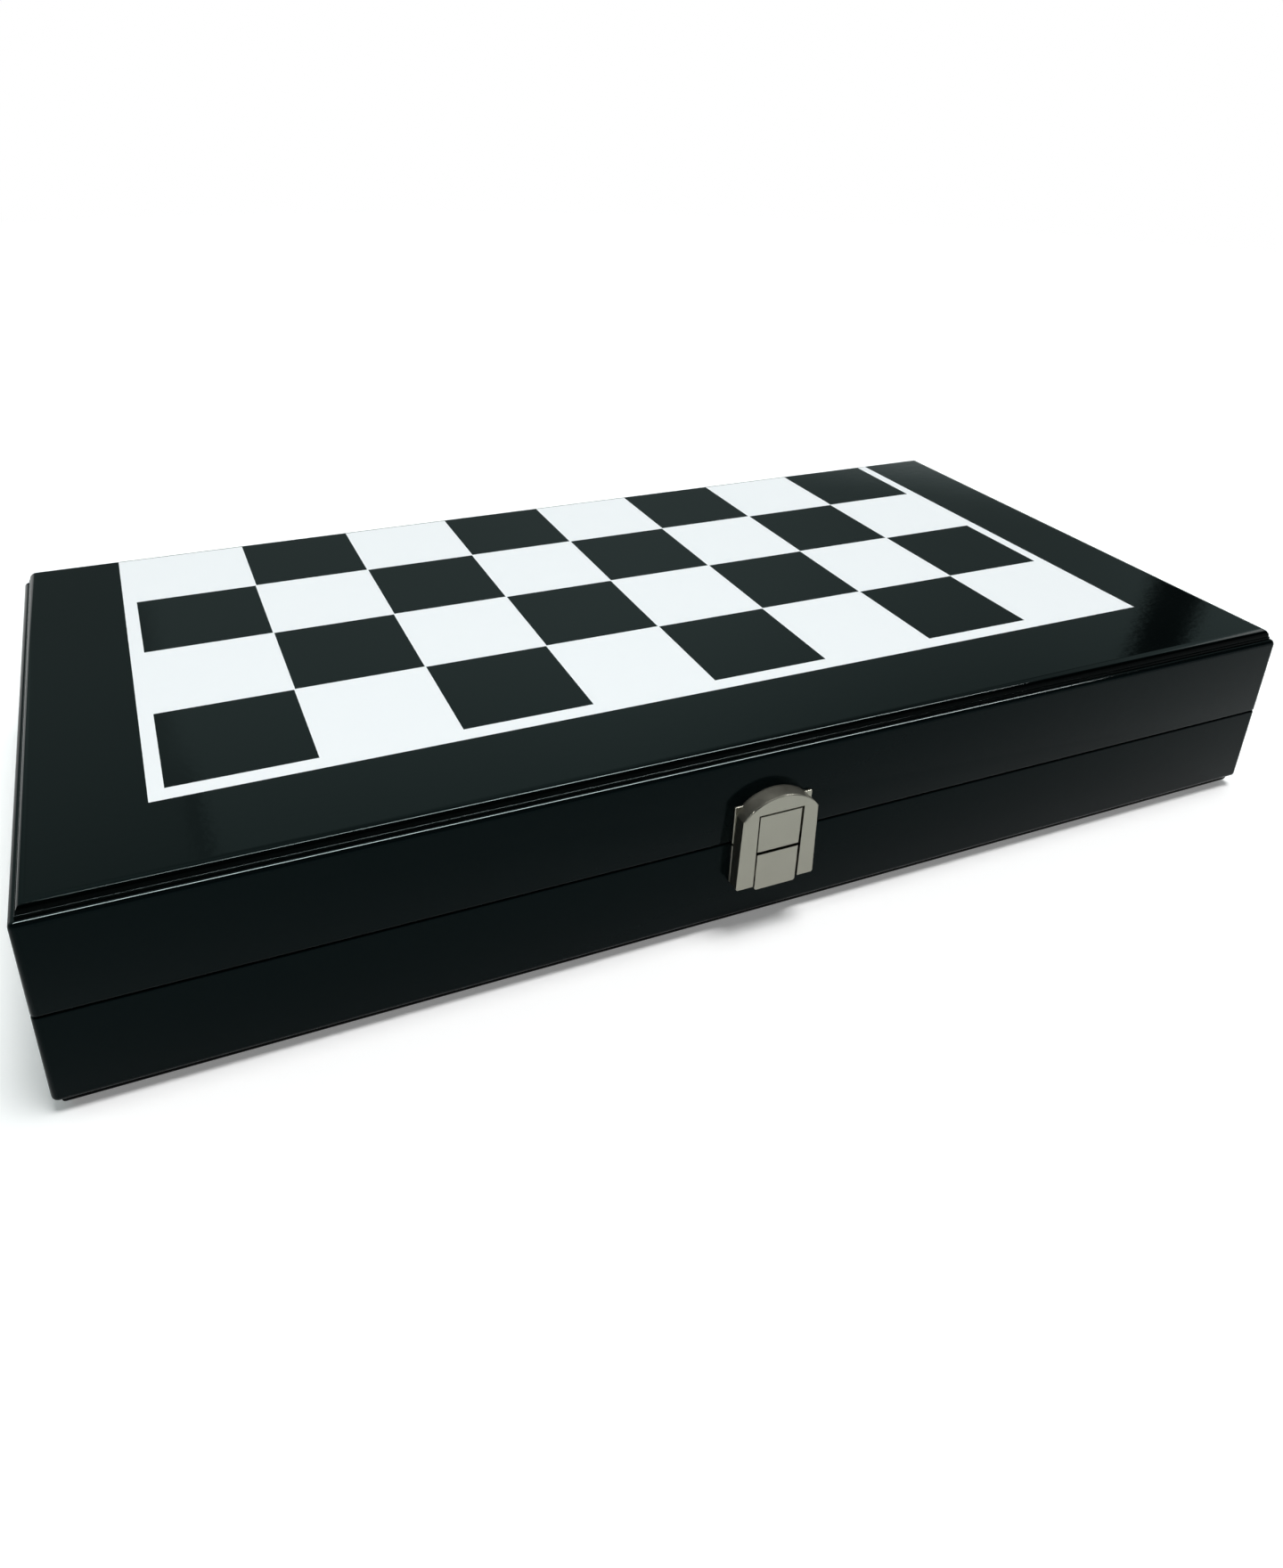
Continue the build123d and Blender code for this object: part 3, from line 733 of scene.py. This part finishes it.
@dataclass
class Board:
    """Moulded panel of one half with its printed field."""

    half: Half
    finishes: Finishes
    ledge_width: float = 1.7 * MM
    step_width: float = 0.3 * MM
    step_radius: float = 0.25 * MM
    ovolo_radius: float = 2.5 * MM
    groove_slack: float = 0.02 * MM
    fold_radius: float = 0.5 * MM
    print_relief: float = 0.015 * MM
    edge: float = 0.12 * MM
    ovolo_steps: int = 10
    edge_steps: int = 4
    sharp_angle: float = 50.0

    def stepped_block(self, groove: float, top: float) -> BMesh:
        """The panel before its edges are rounded: a riser, a small step and a raised field.

        Args:
            groove: Height of the step.
            top: Height of the field.

        Returns:
            The stepped block.
        """
        shape = block(
            (CASE.left + self.ledge_width, CASE.front + self.ledge_width, CASE.ledge),
            (CASE.right - self.ledge_width, CASE.rear, groove),
        )
        field = max(shape.faces, key=lambda face: face.calc_center_median().z)
        bmesh.ops.inset_region(
            shape, faces=[field], thickness=self.step_width, use_even_offset=True
        )
        for vert in field.verts:
            if vert.co.y > 0:
                vert.co.y = CASE.rear
        raised = bmesh.ops.extrude_face_region(shape, geom=[field])["geom"]
        verts = [item for item in raised if isinstance(item, BMVert)]
        bmesh.ops.translate(shape, vec=(0, 0, top - groove), verts=verts)
        bmesh.ops.delete(shape, geom=[field], context="FACES")
        bmesh.ops.remove_doubles(shape, verts=shape.verts, dist=MERGED)
        bmesh.ops.dissolve_degenerate(shape, dist=MERGED, edges=shape.edges)
        return shape

    def panel(self) -> BMesh:
        """The panel: a riser, a small step and an ovolo round three sides of the field.

        Returns:
            The panel, in place.
        """
        groove = CASE.top - self.ovolo_radius
        top = CASE.top - self.print_relief
        shape = self.stepped_block(groove, top)
        moulded = level_edges(shape, top)
        round_edges(shape, moulded, top - groove - self.groove_slack, self.ovolo_steps)
        outer = [
            edge
            for edge in level_edges(shape, groove)
            if all(
                near(vert.co.x, CASE.left + self.ledge_width)
                or near(vert.co.x, CASE.right - self.ledge_width)
                or near(vert.co.y, CASE.front + self.ledge_width)
                for vert in edge.verts
            )
        ]
        round_edges(shape, outer, self.step_radius, self.edge_steps)
        fold = level_edges(shape, top, rear=True)
        round_edges(shape, fold, self.fold_radius, self.edge_steps)
        bmesh.ops.transform(shape, matrix=CASE.turn(self.half), verts=shape.verts)
        return shape

    def build(self) -> None:
        """Make the panel and dress the print and the steel sheet."""
        name = self.half.value
        # The panel starts in the darker moulding copy of the lacquer, which is painted shade; the
        # call below gives its flat top and ledge the plain lacquer.
        moulding = self.finishes.moulding_lacquer
        panel = solid(f"{name}_board_panel", self.panel(), moulding, self.sharp_angle)
        polish(panel, self.finishes.lacquer)
        soften(panel, self.edge)
        fit(panel, self.half.body, "black_lacquer", f"{name}_panel")
        dress(f"{name}_board_print", self.finishes.print)
        dress(f"{name}_steel_sheet", self.finishes.sheet)


@dataclass
class Foam:
    """Foam lining of one half: the bed and the die-cut insert with its nests."""

    half: Half
    finishes: Finishes
    lip_radius: float = 0.9 * MM
    lip_steps: int = 3
    bed_steps: int = 2

    def insert(self) -> BMesh:
        """The insert, with soft lips round its nests.

        Returns:
            The insert.
        """
        node = f"{self.half.value}_foam_insert"
        low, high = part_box(node)
        face = low.z if self.half is Half.UPPER else high.z
        shape = copy_of(node)
        round_edges(shape, level_edges(shape, face), self.lip_radius, self.lip_steps)
        return shape

    def bed(self) -> BMesh:
        """The plain sheet under the insert, with soft edges.

        Returns:
            The sheet.
        """
        shape = copy_of(f"{self.half.value}_foam_bed")
        round_edges(shape, list(shape.edges), self.lip_radius / 2, self.bed_steps)
        return shape

    def build(self) -> None:
        """Make both layers."""
        half = self.half.value
        for name, node, shape in (
            (f"{half}_foam_nests", f"{half}_foam_insert", self.insert()),
            (f"{half}_foam_floor", f"{half}_foam_bed", self.bed()),
        ):
            layer = solid(name, shape, self.finishes.foam)
            fit(layer, self.half.body, "foam_lining", node)


@dataclass
class Latch:
    """The press latch on the front."""

    finishes: Finishes
    edge: float = 0.14 * MM
    hood_edge: float = 0.2 * MM
    plate_edge: float = 0.2 * MM
    arch_rise: float = 6.2 * MM
    arch_width: float = 23.7 * MM
    arch_insets: tuple[float, ...] = (0.0, 0.3 * MM, 1.2 * MM)
    arch_steps: int = 72
    facet_slack: float = 0.19 * MM
    circle_slack: float = 0.02 * MM
    edge_steps: int = 3
    edge_angle: float = 35.0
    sharp_angle: float = 30.0

    def even_arch(self, shape: BMesh) -> None:
        """Cut the hood's arch into fine steps and move them onto the true circle.

        Args:
            shape: The hood.
        """
        low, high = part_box("latch_cover")
        radius = ((self.arch_width / 2) ** 2 + self.arch_rise**2) / (2 * self.arch_rise)
        centre = Vector(((low.x + high.x) / 2, low.y, high.z - radius))
        reach = math.asin(self.arch_width / 2 / radius)
        for step in range(1, self.arch_steps):
            angle = reach * (2 * step / self.arch_steps - 1)
            bmesh.ops.bisect_plane(
                shape,
                geom=[*shape.verts, *shape.edges, *shape.faces],
                dist=MERGED,
                plane_co=centre,
                plane_no=(math.cos(angle), 0, -math.sin(angle)),
            )
        shoulder = high.z - self.arch_rise + self.circle_slack
        for vert in [vert for vert in shape.verts if vert.co.z >= shoulder]:
            arm = Vector((vert.co.x - centre.x, 0, vert.co.z - centre.z))
            for inset in self.arch_insets:
                if -self.facet_slack < arm.length - (radius - inset) < self.circle_slack:
                    moved = arm.normalized() * (radius - inset)
                    vert.co = (centre.x + moved.x, vert.co.y, centre.z + moved.z)
                    break

    def build(self) -> None:
        """Soften the pressed pieces and dress the small ones."""
        for node, body, edge in (
            ("latch_cover", "upper_half", self.hood_edge),
            ("latch_upper_plate", "upper_half", self.plate_edge),
            ("latch_lower_plate", "lower_half", self.plate_edge),
            ("latch_tongue", "lower_half", self.edge),
            ("latch_button", "latch_button", self.edge),
        ):
            shape = copy_of(node)
            if node == "latch_cover":
                self.even_arch(shape)
            piece = solid(f"{node}_pressed", shape, self.finishes.nickel, self.sharp_angle)
            soften(piece, edge, self.edge_steps, self.edge_angle)
            fit(piece, body, "satin_nickel", node)
        dress("latch_spring", self.finishes.spring)
        for node in ("latch_upper_nails", "latch_lower_nails"):
            dress(node, self.finishes.nickel)


@dataclass
class Hinges:
    """The two butt hinges at the fold, with their screws."""

    finishes: Finishes
    edge: float = 0.1 * MM
    slot_width: float = 0.6 * MM
    slot_depth: float = 0.5 * MM
    edge_angle: float = 50.0
    sharp_angle: float = 30.0

    def islands(self, shape: BMesh) -> list[list[Vector]]:
        """Points of each screw.

        Args:
            shape: The mesh of several screws.

        Returns:
            One list of points for each screw.
        """
        left = set(shape.verts)
        groups = []
        while left:
            group = [left.pop()]
            for vert in group:
                joined = left & {edge.other_vert(vert) for edge in vert.link_edges}
                left -= joined
                group.extend(joined)
            groups.append([vert.co.copy() for vert in group])
        return groups

    def screws(self, side: Half) -> None:
        """Make the screws of one half, with slots in their heads.

        Args:
            side: The half that they hold in.
        """
        node = f"hinge_{side.value}_screws"
        shape = copy_of(node)
        slots = []
        for points in self.islands(shape):
            xs, ys, zs = zip(*points)
            face = min(zs) if side is Half.UPPER else max(zs)
            middle = (min(ys) + max(ys)) / 2
            start = (min(xs) - MM, middle - self.slot_width / 2, face - self.slot_depth)
            end = (max(xs) + MM, middle + self.slot_width / 2, face + self.slot_depth)
            slots.append(block(start, end))
        piece = solid(f"{node}_slotted", shape, self.finishes.screw, self.sharp_angle)
        cut_away(piece, slots)
        crease(piece.data, self.sharp_angle)
        fit(piece, side.body, "hinge_steel", node)

    def build(self) -> None:
        """Soften the leaves, slot the screws and dress the pins."""
        for side in Half:
            node = f"hinge_{side.value}_leaves"
            shape = copy_of(node)
            leaves = solid(f"{node}_pressed", shape, self.finishes.hinge, self.sharp_angle)
            soften(leaves, self.edge, angle=self.edge_angle)
            fit(leaves, side.body, "hinge_steel", node)
            self.screws(side)
        dress("hinge_pins", self.finishes.hinge)


class Kind(Enum):
    """Kinds of chessmen, named as their nodes are."""

    KING = "king"
    QUEEN = "queen"
    BISHOPS = "bishops"
    KNIGHTS = "knights"
    ROOKS = "rooks"
    PAWNS = "pawns"


PROFILES: dict[Kind, list[Span]] = {
    Kind.KING: [
        (0.0, 0.97), (0.012, 1.0), (0.045, 1.0), (0.06, 0.93), (0.085, 0.82), (0.12, 0.76),
        (0.17, 0.62), (0.26, 0.47), (0.4, 0.355), (0.555, 0.30), (0.575, 0.42), (0.59, 0.54),
        (0.605, 0.46), (0.62, 0.34), (0.66, 0.335), (0.74, 0.4), (0.82, 0.52), (0.84, 0.52),
        (0.86, 0.46), (0.88, 0.3), (0.895, 0.16), (0.9, 0.0),
    ],
    Kind.QUEEN: [
        (0.0, 0.97), (0.013, 1.0), (0.05, 1.0), (0.067, 0.93), (0.095, 0.82), (0.13, 0.75),
        (0.18, 0.62), (0.27, 0.46), (0.42, 0.345), (0.575, 0.30), (0.595, 0.43), (0.61, 0.56),
        (0.627, 0.46), (0.645, 0.32), (0.7, 0.335), (0.8, 0.42), (0.89, 0.56), (0.905, 0.52),
        (0.92, 0.3), (0.94, 0.14), (0.955, 0.2), (0.975, 0.22), (0.992, 0.15), (1.0, 0.0),
    ],
    Kind.BISHOPS: [
        (0.0, 0.97), (0.015, 1.0), (0.06, 1.0), (0.08, 0.93), (0.11, 0.82), (0.15, 0.73),
        (0.2, 0.6), (0.3, 0.44), (0.45, 0.34), (0.575, 0.32), (0.595, 0.45), (0.61, 0.58),
        (0.63, 0.46), (0.65, 0.34), (0.69, 0.44), (0.75, 0.54), (0.8, 0.51), (0.86, 0.36),
        (0.915, 0.17), (0.93, 0.16), (0.955, 0.2), (0.98, 0.17), (1.0, 0.0),
    ],
    Kind.ROOKS: [
        (0.0, 0.97), (0.02, 1.0), (0.075, 1.0), (0.1, 0.93), (0.135, 0.8), (0.2, 0.68),
        (0.33, 0.56), (0.5, 0.505), (0.64, 0.50), (0.67, 0.6), (0.7, 0.74), (1.0, 0.74),
        (1.0, 0.52), (0.925, 0.52), (0.925, 0.0),
    ],
    Kind.PAWNS: [
        (0.0, 0.97), (0.022, 1.0), (0.09, 1.0), (0.115, 0.92), (0.156, 0.8), (0.24, 0.62),
        (0.38, 0.43), (0.56, 0.34), (0.58, 0.46), (0.6, 0.62), (0.62, 0.5), (0.64, 0.37),
        (0.675, 0.44), (0.72, 0.56), (0.79, 0.63), (0.86, 0.62), (0.925, 0.5), (0.975, 0.28),
        (1.0, 0.0),
    ],
    Kind.KNIGHTS: [
        (0.0, 0.97), (0.017, 1.0), (0.068, 1.0), (0.09, 0.93), (0.12, 0.8), (0.2, 0.66),
        (0.255, 0.6), (0.3, 0.56), (0.315, 0.48), (0.32, 0.0),
    ],
}
HORSE_OUTLINE: list[Span] = [
    (0.5, 0.29), (0.62, 0.42), (0.64, 0.56), (0.58, 0.7), (0.44, 0.83), (0.27, 0.92),
    (0.16, 0.96), (0.05, 1.0), (0.0, 0.92), (-0.12, 0.875), (-0.3, 0.82), (-0.5, 0.745),
    (-0.66, 0.68), (-0.72, 0.61), (-0.66, 0.55), (-0.52, 0.53), (-0.36, 0.575),
    (-0.14, 0.62), (-0.2, 0.53), (-0.34, 0.42), (-0.46, 0.33), (-0.5, 0.29),
]


@dataclass
class ChessMen:
    """All men of one kind and colour, turned round and laid in their nests."""

    half: Half
    kind: Kind
    finishes: Finishes
    steps: int = 40
    felt_thickness: float = 0.45 * MM
    felt_share: float = 0.9
    cross_arm: float = 1.6 * MM
    cross_span: float = 6.4 * MM
    cross_reach_share: float = 0.8
    cross_drop_share: float = 0.45
    cross_edge: float = 0.25 * MM
    cross_steps: int = 2
    head_thickness: float = 9.0 * MM
    head_edge: float = 1.1 * MM
    head_steps: int = 4
    slot_width: float = 3.2 * MM
    slot_floor_share: float = 0.925
    slot_lift: float = 0.4 * MM
    mitre_width: float = 1.2 * MM
    mitre_reach_share: float = 0.3
    mitre_height_share: float = 0.82
    mitre_degrees: float = -35.0
    sharp_angle: float = 50.0

    def __post_init__(self) -> None:
        """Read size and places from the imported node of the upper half."""
        low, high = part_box(f"black_{self.kind.value}")
        self.radius = (high.z - low.z) / 2
        self.height = high.y - low.y
        self.axis_height = (high.z + low.z) / 2
        count = {Kind.KING: 1, Kind.QUEEN: 1, Kind.PAWNS: 8}.get(self.kind, 2)
        first = low.x + self.radius
        last = high.x - self.radius
        gaps = max(count - 1, 1)
        self.places = [first + (last - first) * n / gaps for n in range(count)]
        self.head_way = -1 if self.kind is Kind.PAWNS else 1
        self.foot = high.y if self.kind is Kind.PAWNS else low.y

    def turned(self) -> BMesh:
        """One man's turned body.

        Returns:
            The body, standing at the origin.
        """
        shape = bmesh.new()
        points = [(self.radius * r, 0.0, self.height * z) for z, r in PROFILES[self.kind]]
        verts = [shape.verts.new(point) for point in [(0.0, 0.0, 0.0), *points]]
        edges = [shape.edges.new(pair) for pair in zip(verts, verts[1:])]
        bmesh.ops.spin(
            shape,
            geom=verts + edges,
            axis=(0, 0, 1),
            cent=(0, 0, 0),
            steps=self.steps,
            angle=2 * math.pi,
            use_merge=True,
        )
        bmesh.ops.remove_doubles(shape, verts=shape.verts, dist=2 * MERGED)
        return shape

    def add_bar(self, shape: BMesh, size: Point, height: float) -> None:
        """Add a softened bar to a man, on his axis.

        Args:
            shape: The man.
            size: Size of the bar.
            height: Height of its middle.
        """
        place = Matrix.LocRotScale(Vector((0, 0, height)), None, Vector(size))
        bar = bmesh.ops.create_cube(shape, size=1.0, matrix=place)["verts"]
        edges = list({edge for vert in bar for edge in vert.link_edges})
        round_edges(shape, edges, self.cross_edge, self.cross_steps)

    def horse_head(self, shape: BMesh) -> None:
        """Add the knight's head: a side outline given thickness, thin at muzzle and mane.

        Args:
            shape: The man's turned foot.
        """
        verts = [
            shape.verts.new((self.radius * x, -self.head_thickness / 2, self.height * z))
            for x, z in HORSE_OUTLINE
        ]
        face = shape.faces.new(verts)
        raised = bmesh.ops.extrude_face_region(shape, geom=[face])["geom"]
        far = [item for item in raised if isinstance(item, BMVert)]
        bmesh.ops.translate(shape, vec=(0, self.head_thickness, 0), verts=far)
        for vert in [*verts, *far]:
            x = vert.co.x / self.radius
            z = vert.co.z / self.height
            # Thinner towards the muzzle, the ears and the mane.
            slim = 1.0
            for taper, distance in ((0.45, -x), (0.5, z - 0.8), (0.3, x - 0.35)):
                slim -= taper * max(0.0, distance)
            vert.co.y *= slim
        rim = [
            edge
            for edge in shape.edges
            if any(edge.verts[0] in side and edge.verts[1] in side for side in (verts, far))
        ]
        round_edges(shape, rim, self.head_edge, self.head_steps)

    def man(self) -> BMesh:
        """One finished man, before any cuts.

        Returns:
            The man, standing at the origin.
        """
        shape = self.turned()
        if self.kind is Kind.KING:
            arm = self.cross_arm
            span = self.cross_span
            self.add_bar(shape, (arm, arm, span), self.height - span / 2)
            arm_height = self.height - self.cross_drop_share * span
            self.add_bar(shape, (self.cross_reach_share * span, arm, arm), arm_height)
        if self.kind is Kind.KNIGHTS:
            self.horse_head(shape)
        return shape

    def slots(self) -> list[BMesh]:
        """The rook's crossed slots or the bishop's slanting cut.

        Returns:
            Shapes to cut from the standing man.
        """
        if self.kind is Kind.ROOKS:
            reach = 2 * self.radius
            side = self.slot_width / 2
            floor = self.height * self.slot_floor_share + self.slot_lift
            return [
                block((-reach, -side, floor), (reach, side, self.height + reach)),
                block((-side, -reach, floor), (side, reach, self.height + reach)),
            ]
        if self.kind is Kind.BISHOPS:
            start = self.mitre_reach_share * self.radius
            side = self.mitre_width / 2
            cutter = block((-start, -self.radius, -side), (self.radius, self.radius, side))
            place = Matrix.Translation((start, 0, self.mitre_height_share * self.height))
            turn = Matrix.Rotation(math.radians(self.mitre_degrees), 4, "Y")
            bmesh.ops.transform(cutter, matrix=place @ turn, verts=cutter.verts)
            return [cutter]
        return []

    def lying(self, place: float) -> Matrix:
        """Matrix that lays a standing man in his nest.

        Args:
            place: Place of the nest along the length.

        Returns:
            The matrix.
        """
        way = self.head_way
        turn = Matrix(((1, 0, 0), (0, 0, way), (0, -way, 0))).to_4x4()
        middle = Vector((place, self.foot, self.axis_height))
        return CASE.turn(self.half) @ Matrix.Translation(middle) @ turn

    def build(self) -> None:
        """Make the men of this kind and their felts."""
        colour = self.half.men
        name = f"{colour}_{self.kind.value}"
        standing = solid(f"{name}_one", self.man(), self.finishes.men[colour], self.sharp_angle)
        cutters = self.slots()
        if cutters:
            cut_away(standing, cutters)
        felt = bmesh.new()
        bmesh.ops.create_cone(
            felt,
            cap_ends=True,
            segments=self.steps,
            radius1=self.radius * self.felt_share,
            radius2=self.radius * self.felt_share,
            depth=self.felt_thickness,
            matrix=Matrix.Translation((0, 0, -self.felt_thickness / 2)),
        )
        disc = solid(f"{name}_felt_one", felt, self.finishes.felt)
        for source, piece_name, slot, nodes in (
            (standing, f"{name}_turned", f"{colour}_men", (name,)),
            (disc, f"{name}_felts", "foam_lining", ()),
        ):
            together = bmesh.new()
            for place in self.places:
                copy = source.data.copy()
                copy.transform(self.lying(place))
                together.from_mesh(copy)
                bpy.data.meshes.remove(copy)
            piece = solid(piece_name, together, source.data.materials[0], self.sharp_angle)
            fit(piece, self.half.body, slot, *nodes)
            bpy.data.objects.remove(source)


class Sky(Nodes):
    """The node tree of the surroundings."""

    def by_angle(self, angle: NodeSocket, to: Span, degrees: Span) -> NodeSocket:
        """Map an angle smoothly from a span in degrees to another span."""
        return self.spread(angle, to, tuple(map(math.radians, degrees)), smooth=True)

    def product(self, first: NodeSocket, second: NodeSocket) -> NodeSocket:
        """Multiply two values."""
        return self.combine("MULTIPLY", first, second)


@dataclass(frozen=True)
class Card:
    """A dark card in the studio, seen in the lacquer as a soft upright band.

    Azimuth, half width and edge are in degrees, and the band begins at the lowest height.
    """

    azimuth: float
    half_width: float
    edge: float
    lowest: float
    depth: float


@dataclass(frozen=True)
class Surroundings:
    """Brightness of the studio by angle, in degrees from the rear horizon over the top.

    A white horizon, a dim band behind the object that brightens upwards, and a dark ceiling.
    The polished lacquer mirrors all of it.
    """

    tint: Colour = (0.74, 1.0, 0.98)
    horizon: float = 1.0
    horizon_fades: Span = (0.18, 0.30)
    band_rises: Span = (17.0, 37.0)
    band_levels: Span = (0.24, 0.6)
    band_ends: Span = (80.0, 86.0)
    right_side: Span = (22.0, 50.0)
    right_share: float = 0.48
    ceiling: float = 0.012
    card_fade: float = 0.06
    cards: tuple[Card, ...] = (
        Card(53.8, 1.25, 0.55, 0.1, 1.0),
        Card(-12.0, 10.5, 0.8, 0.2, 0.3),
        Card(-1.2, 0.5, 0.5, 0.54, 0.5),
    )

    def build(self) -> World:
        """Make the surroundings as a world of nodes.

        Returns:
            The world.
        """
        world = bpy.data.worlds.new("studio")
        sky = Sky(world)
        split = sky.node("ShaderNodeSeparateXYZ")
        sky.fill(split, sky.node("ShaderNodeTexCoord").outputs["Generated"])
        across, ahead, height = split.outputs
        azimuth = sky.combine("ARCTAN2", across, ahead)
        over = sky.combine("ARCTAN2", height, ahead)
        band = sky.by_angle(over, self.band_levels, self.band_rises)
        within = sky.by_angle(over, (1.0, 0.0), self.band_ends)
        dimmed = sky.by_angle(azimuth, (1.0, self.right_share), self.right_side)
        level = sky.product(sky.product(band, within), dimmed)
        for card in self.cards:
            aside = sky.combine("SUBTRACT", azimuth, math.radians(card.azimuth))
            reach = (card.half_width - card.edge, card.half_width + card.edge)
            beside = sky.by_angle(sky.combine("ABSOLUTE", aside), (card.depth, 0.0), reach)
            rise = (card.lowest, card.lowest + self.card_fade)
            above = sky.spread(height, (0.0, 1.0), rise, smooth=True)
            shade = sky.product(sky.product(beside, above), level)
            level = sky.combine("SUBTRACT", level, shade)
        level = sky.combine("ADD", level, self.ceiling)
        white = sky.spread(height, (1.0, 0.0), self.horizon_fades, smooth=True)
        lifted = sky.combine("SUBTRACT", self.horizon, level)
        level = sky.combine("ADD", level, sky.product(white, lifted))
        colour = sky.blend(white, self.tint, WHITE)
        sky.fill(sky.tree.nodes["Background"], Color=colour, Strength=level)
        return world


@dataclass
class Studio:
    """Pale floor, soft light and the camera at the photograph's viewing angle."""

    floor_radius: float = 9.0
    floor_gap: float = 0.1 * MM
    floor_colour: Colour = (0.93, 0.93, 0.93)
    floor_lift: float = 0.2
    floor_roughness: float = 0.9
    floor_specular: float = 0.1
    floor_steps: int = 96
    floor_fades: Span = (0.6, 1.6)
    sun_strength: float = 2.52
    sun_angle: float = 25.0
    sun_way: Point = (0.16, -0.1, 0.98)
    strip_size: Span = (1.9, 0.15)
    strip_place: Point = (0.15, -0.08, 1.05)
    strip_aim: Point = (0.15, -0.08, 0.0)
    strip_watts: float = 52.0

    def floor(self) -> None:
        """A wide disc whose far part is plain white, so that it meets the backdrop unseen."""
        shape = bmesh.new()
        bmesh.ops.create_circle(
            shape,
            cap_ends=True,
            radius=self.floor_radius,
            segments=self.floor_steps,
            matrix=Matrix.Translation((0, 0, -self.floor_gap)),
        )
        floor = solid("floor", shape, self.floor_finish())

    def floor_finish(self) -> Material:
        """Pale matt floor that turns into plain white with distance from the object.

        Returns:
            The new material.
        """
        shader = Shader("pale floor")
        length = shader.node("ShaderNodeVectorMath", operation="LENGTH")
        shader.fill(length, shader.place)
        far = shader.spread(length.outputs["Value"], (0.0, 1.0), self.floor_fades)
        rays = shader.node("ShaderNodeLightPath")
        seen = rays.outputs["Is Camera Ray"]
        for name in ("Is Glossy Ray", "Is Transmission Ray"):
            seen = shader.combine("MAXIMUM", seen, rays.outputs[name])
        shader.fill(
            shader.surface,
            Base_Color=self.floor_colour,
            Roughness=self.floor_roughness,
            Specular_IOR_Level=self.floor_specular,
            Emission_Color=WHITE,
            Emission_Strength=shader.combine("MULTIPLY", seen, self.floor_lift),
        )
        white = shader.node("ShaderNodeEmission")
        mix = shader.node("ShaderNodeMixShader")
        shader.fill(mix, far, shader.surface.outputs["BSDF"], white.outputs["Emission"])
        shader.fill(shader.tree.nodes["Material Output"], Surface=mix.outputs["Shader"])
        return shader.material

    def lamp(self, name: str, kind: str, place: Vector, aim: Vector) -> Object:
        """Add a lamp that points at a place.

        Args:
            name: Name of the lamp.
            kind: SUN or AREA.
            place: Where the lamp hangs.
            aim: Where it points.

        Returns:
            The lamp's object.
        """
        lamp = bpy.data.objects.new(name, bpy.data.lights.new(name, kind))
        lamp.location = place
        lamp.rotation_euler = (place - aim).to_track_quat("Z", "Y").to_euler()
        bpy.context.scene.collection.objects.link(lamp)
        lamp.visible_camera = False
        return lamp

    def lights(self) -> None:
        """The main soft light overhead, and a long strip that only polished edges mirror."""
        sun = self.lamp("overhead", "SUN", Vector(self.sun_way), Vector())
        sun.data.energy = self.sun_strength
        sun.data.angle = math.radians(self.sun_angle)
        sun.visible_glossy = False
        strip = self.lamp("strip", "AREA", Vector(self.strip_place), Vector(self.strip_aim))
        strip.data.shape = "ELLIPSE"
        strip.data.size, strip.data.size_y = self.strip_size
        strip.data.energy = self.strip_watts
        strip.visible_diffuse = False

    def camera(self) -> None:
        """The camera, from a fit of the photograph's chequer grid, in millimetres and pixels."""
        picture_width, picture_height = 1440.0, 1760.0
        centre_x, centre_y = 665.15, 695.6
        focal_pixels = 1295.6
        sensor = 36.0
        place = Vector((-151.3, -224.325, 225.6)) * MM + Vector((0, CASE.front, 0))
        right = Vector((0.9227, -0.3851, 0.0179))
        down = Vector((-0.1543, -0.4115, -0.8982))
        ahead = Vector((0.3533, 0.8260, -0.4391))
        data = bpy.data.cameras.new("camera")
        data.sensor_width = sensor
        data.sensor_fit = "AUTO"
        data.lens = focal_pixels / picture_height * sensor
        data.shift_x = (picture_width / 2 - centre_x) / picture_height
        data.shift_y = (centre_y - picture_height / 2) / picture_height
        data.clip_start = 0.01
        camera = bpy.data.objects.new("camera", data)
        columns = Matrix((right, -down, -ahead)).transposed()
        camera.matrix_world = Matrix.Translation(place) @ columns.to_4x4()
        bpy.context.scene.collection.objects.link(camera)
        bpy.context.scene.camera = camera

    def build(self) -> None:
        """Set up the scene round the object."""
        self.camera()
        self.floor()
        bpy.context.scene.world = Surroundings().build()
        self.lights()
        bpy.context.scene.view_settings.view_transform = "Standard"


def main() -> None:
    logging.basicConfig(level=logging.INFO, format="%(name)s: %(message)s")
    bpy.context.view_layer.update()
    Studio().build()
    finishes = Finishes()
    for half in Half:
        Walls(half, finishes).build()
        Board(half, finishes).build()
        Foam(half, finishes).build()
        for kind in Kind:
            ChessMen(half, kind, finishes).build()
        dress(f"{half.men}_magnets", finishes.magnet)
    Latch(finishes).build()
    Hinges(finishes).build()


if __name__ == "__main__":
    main()
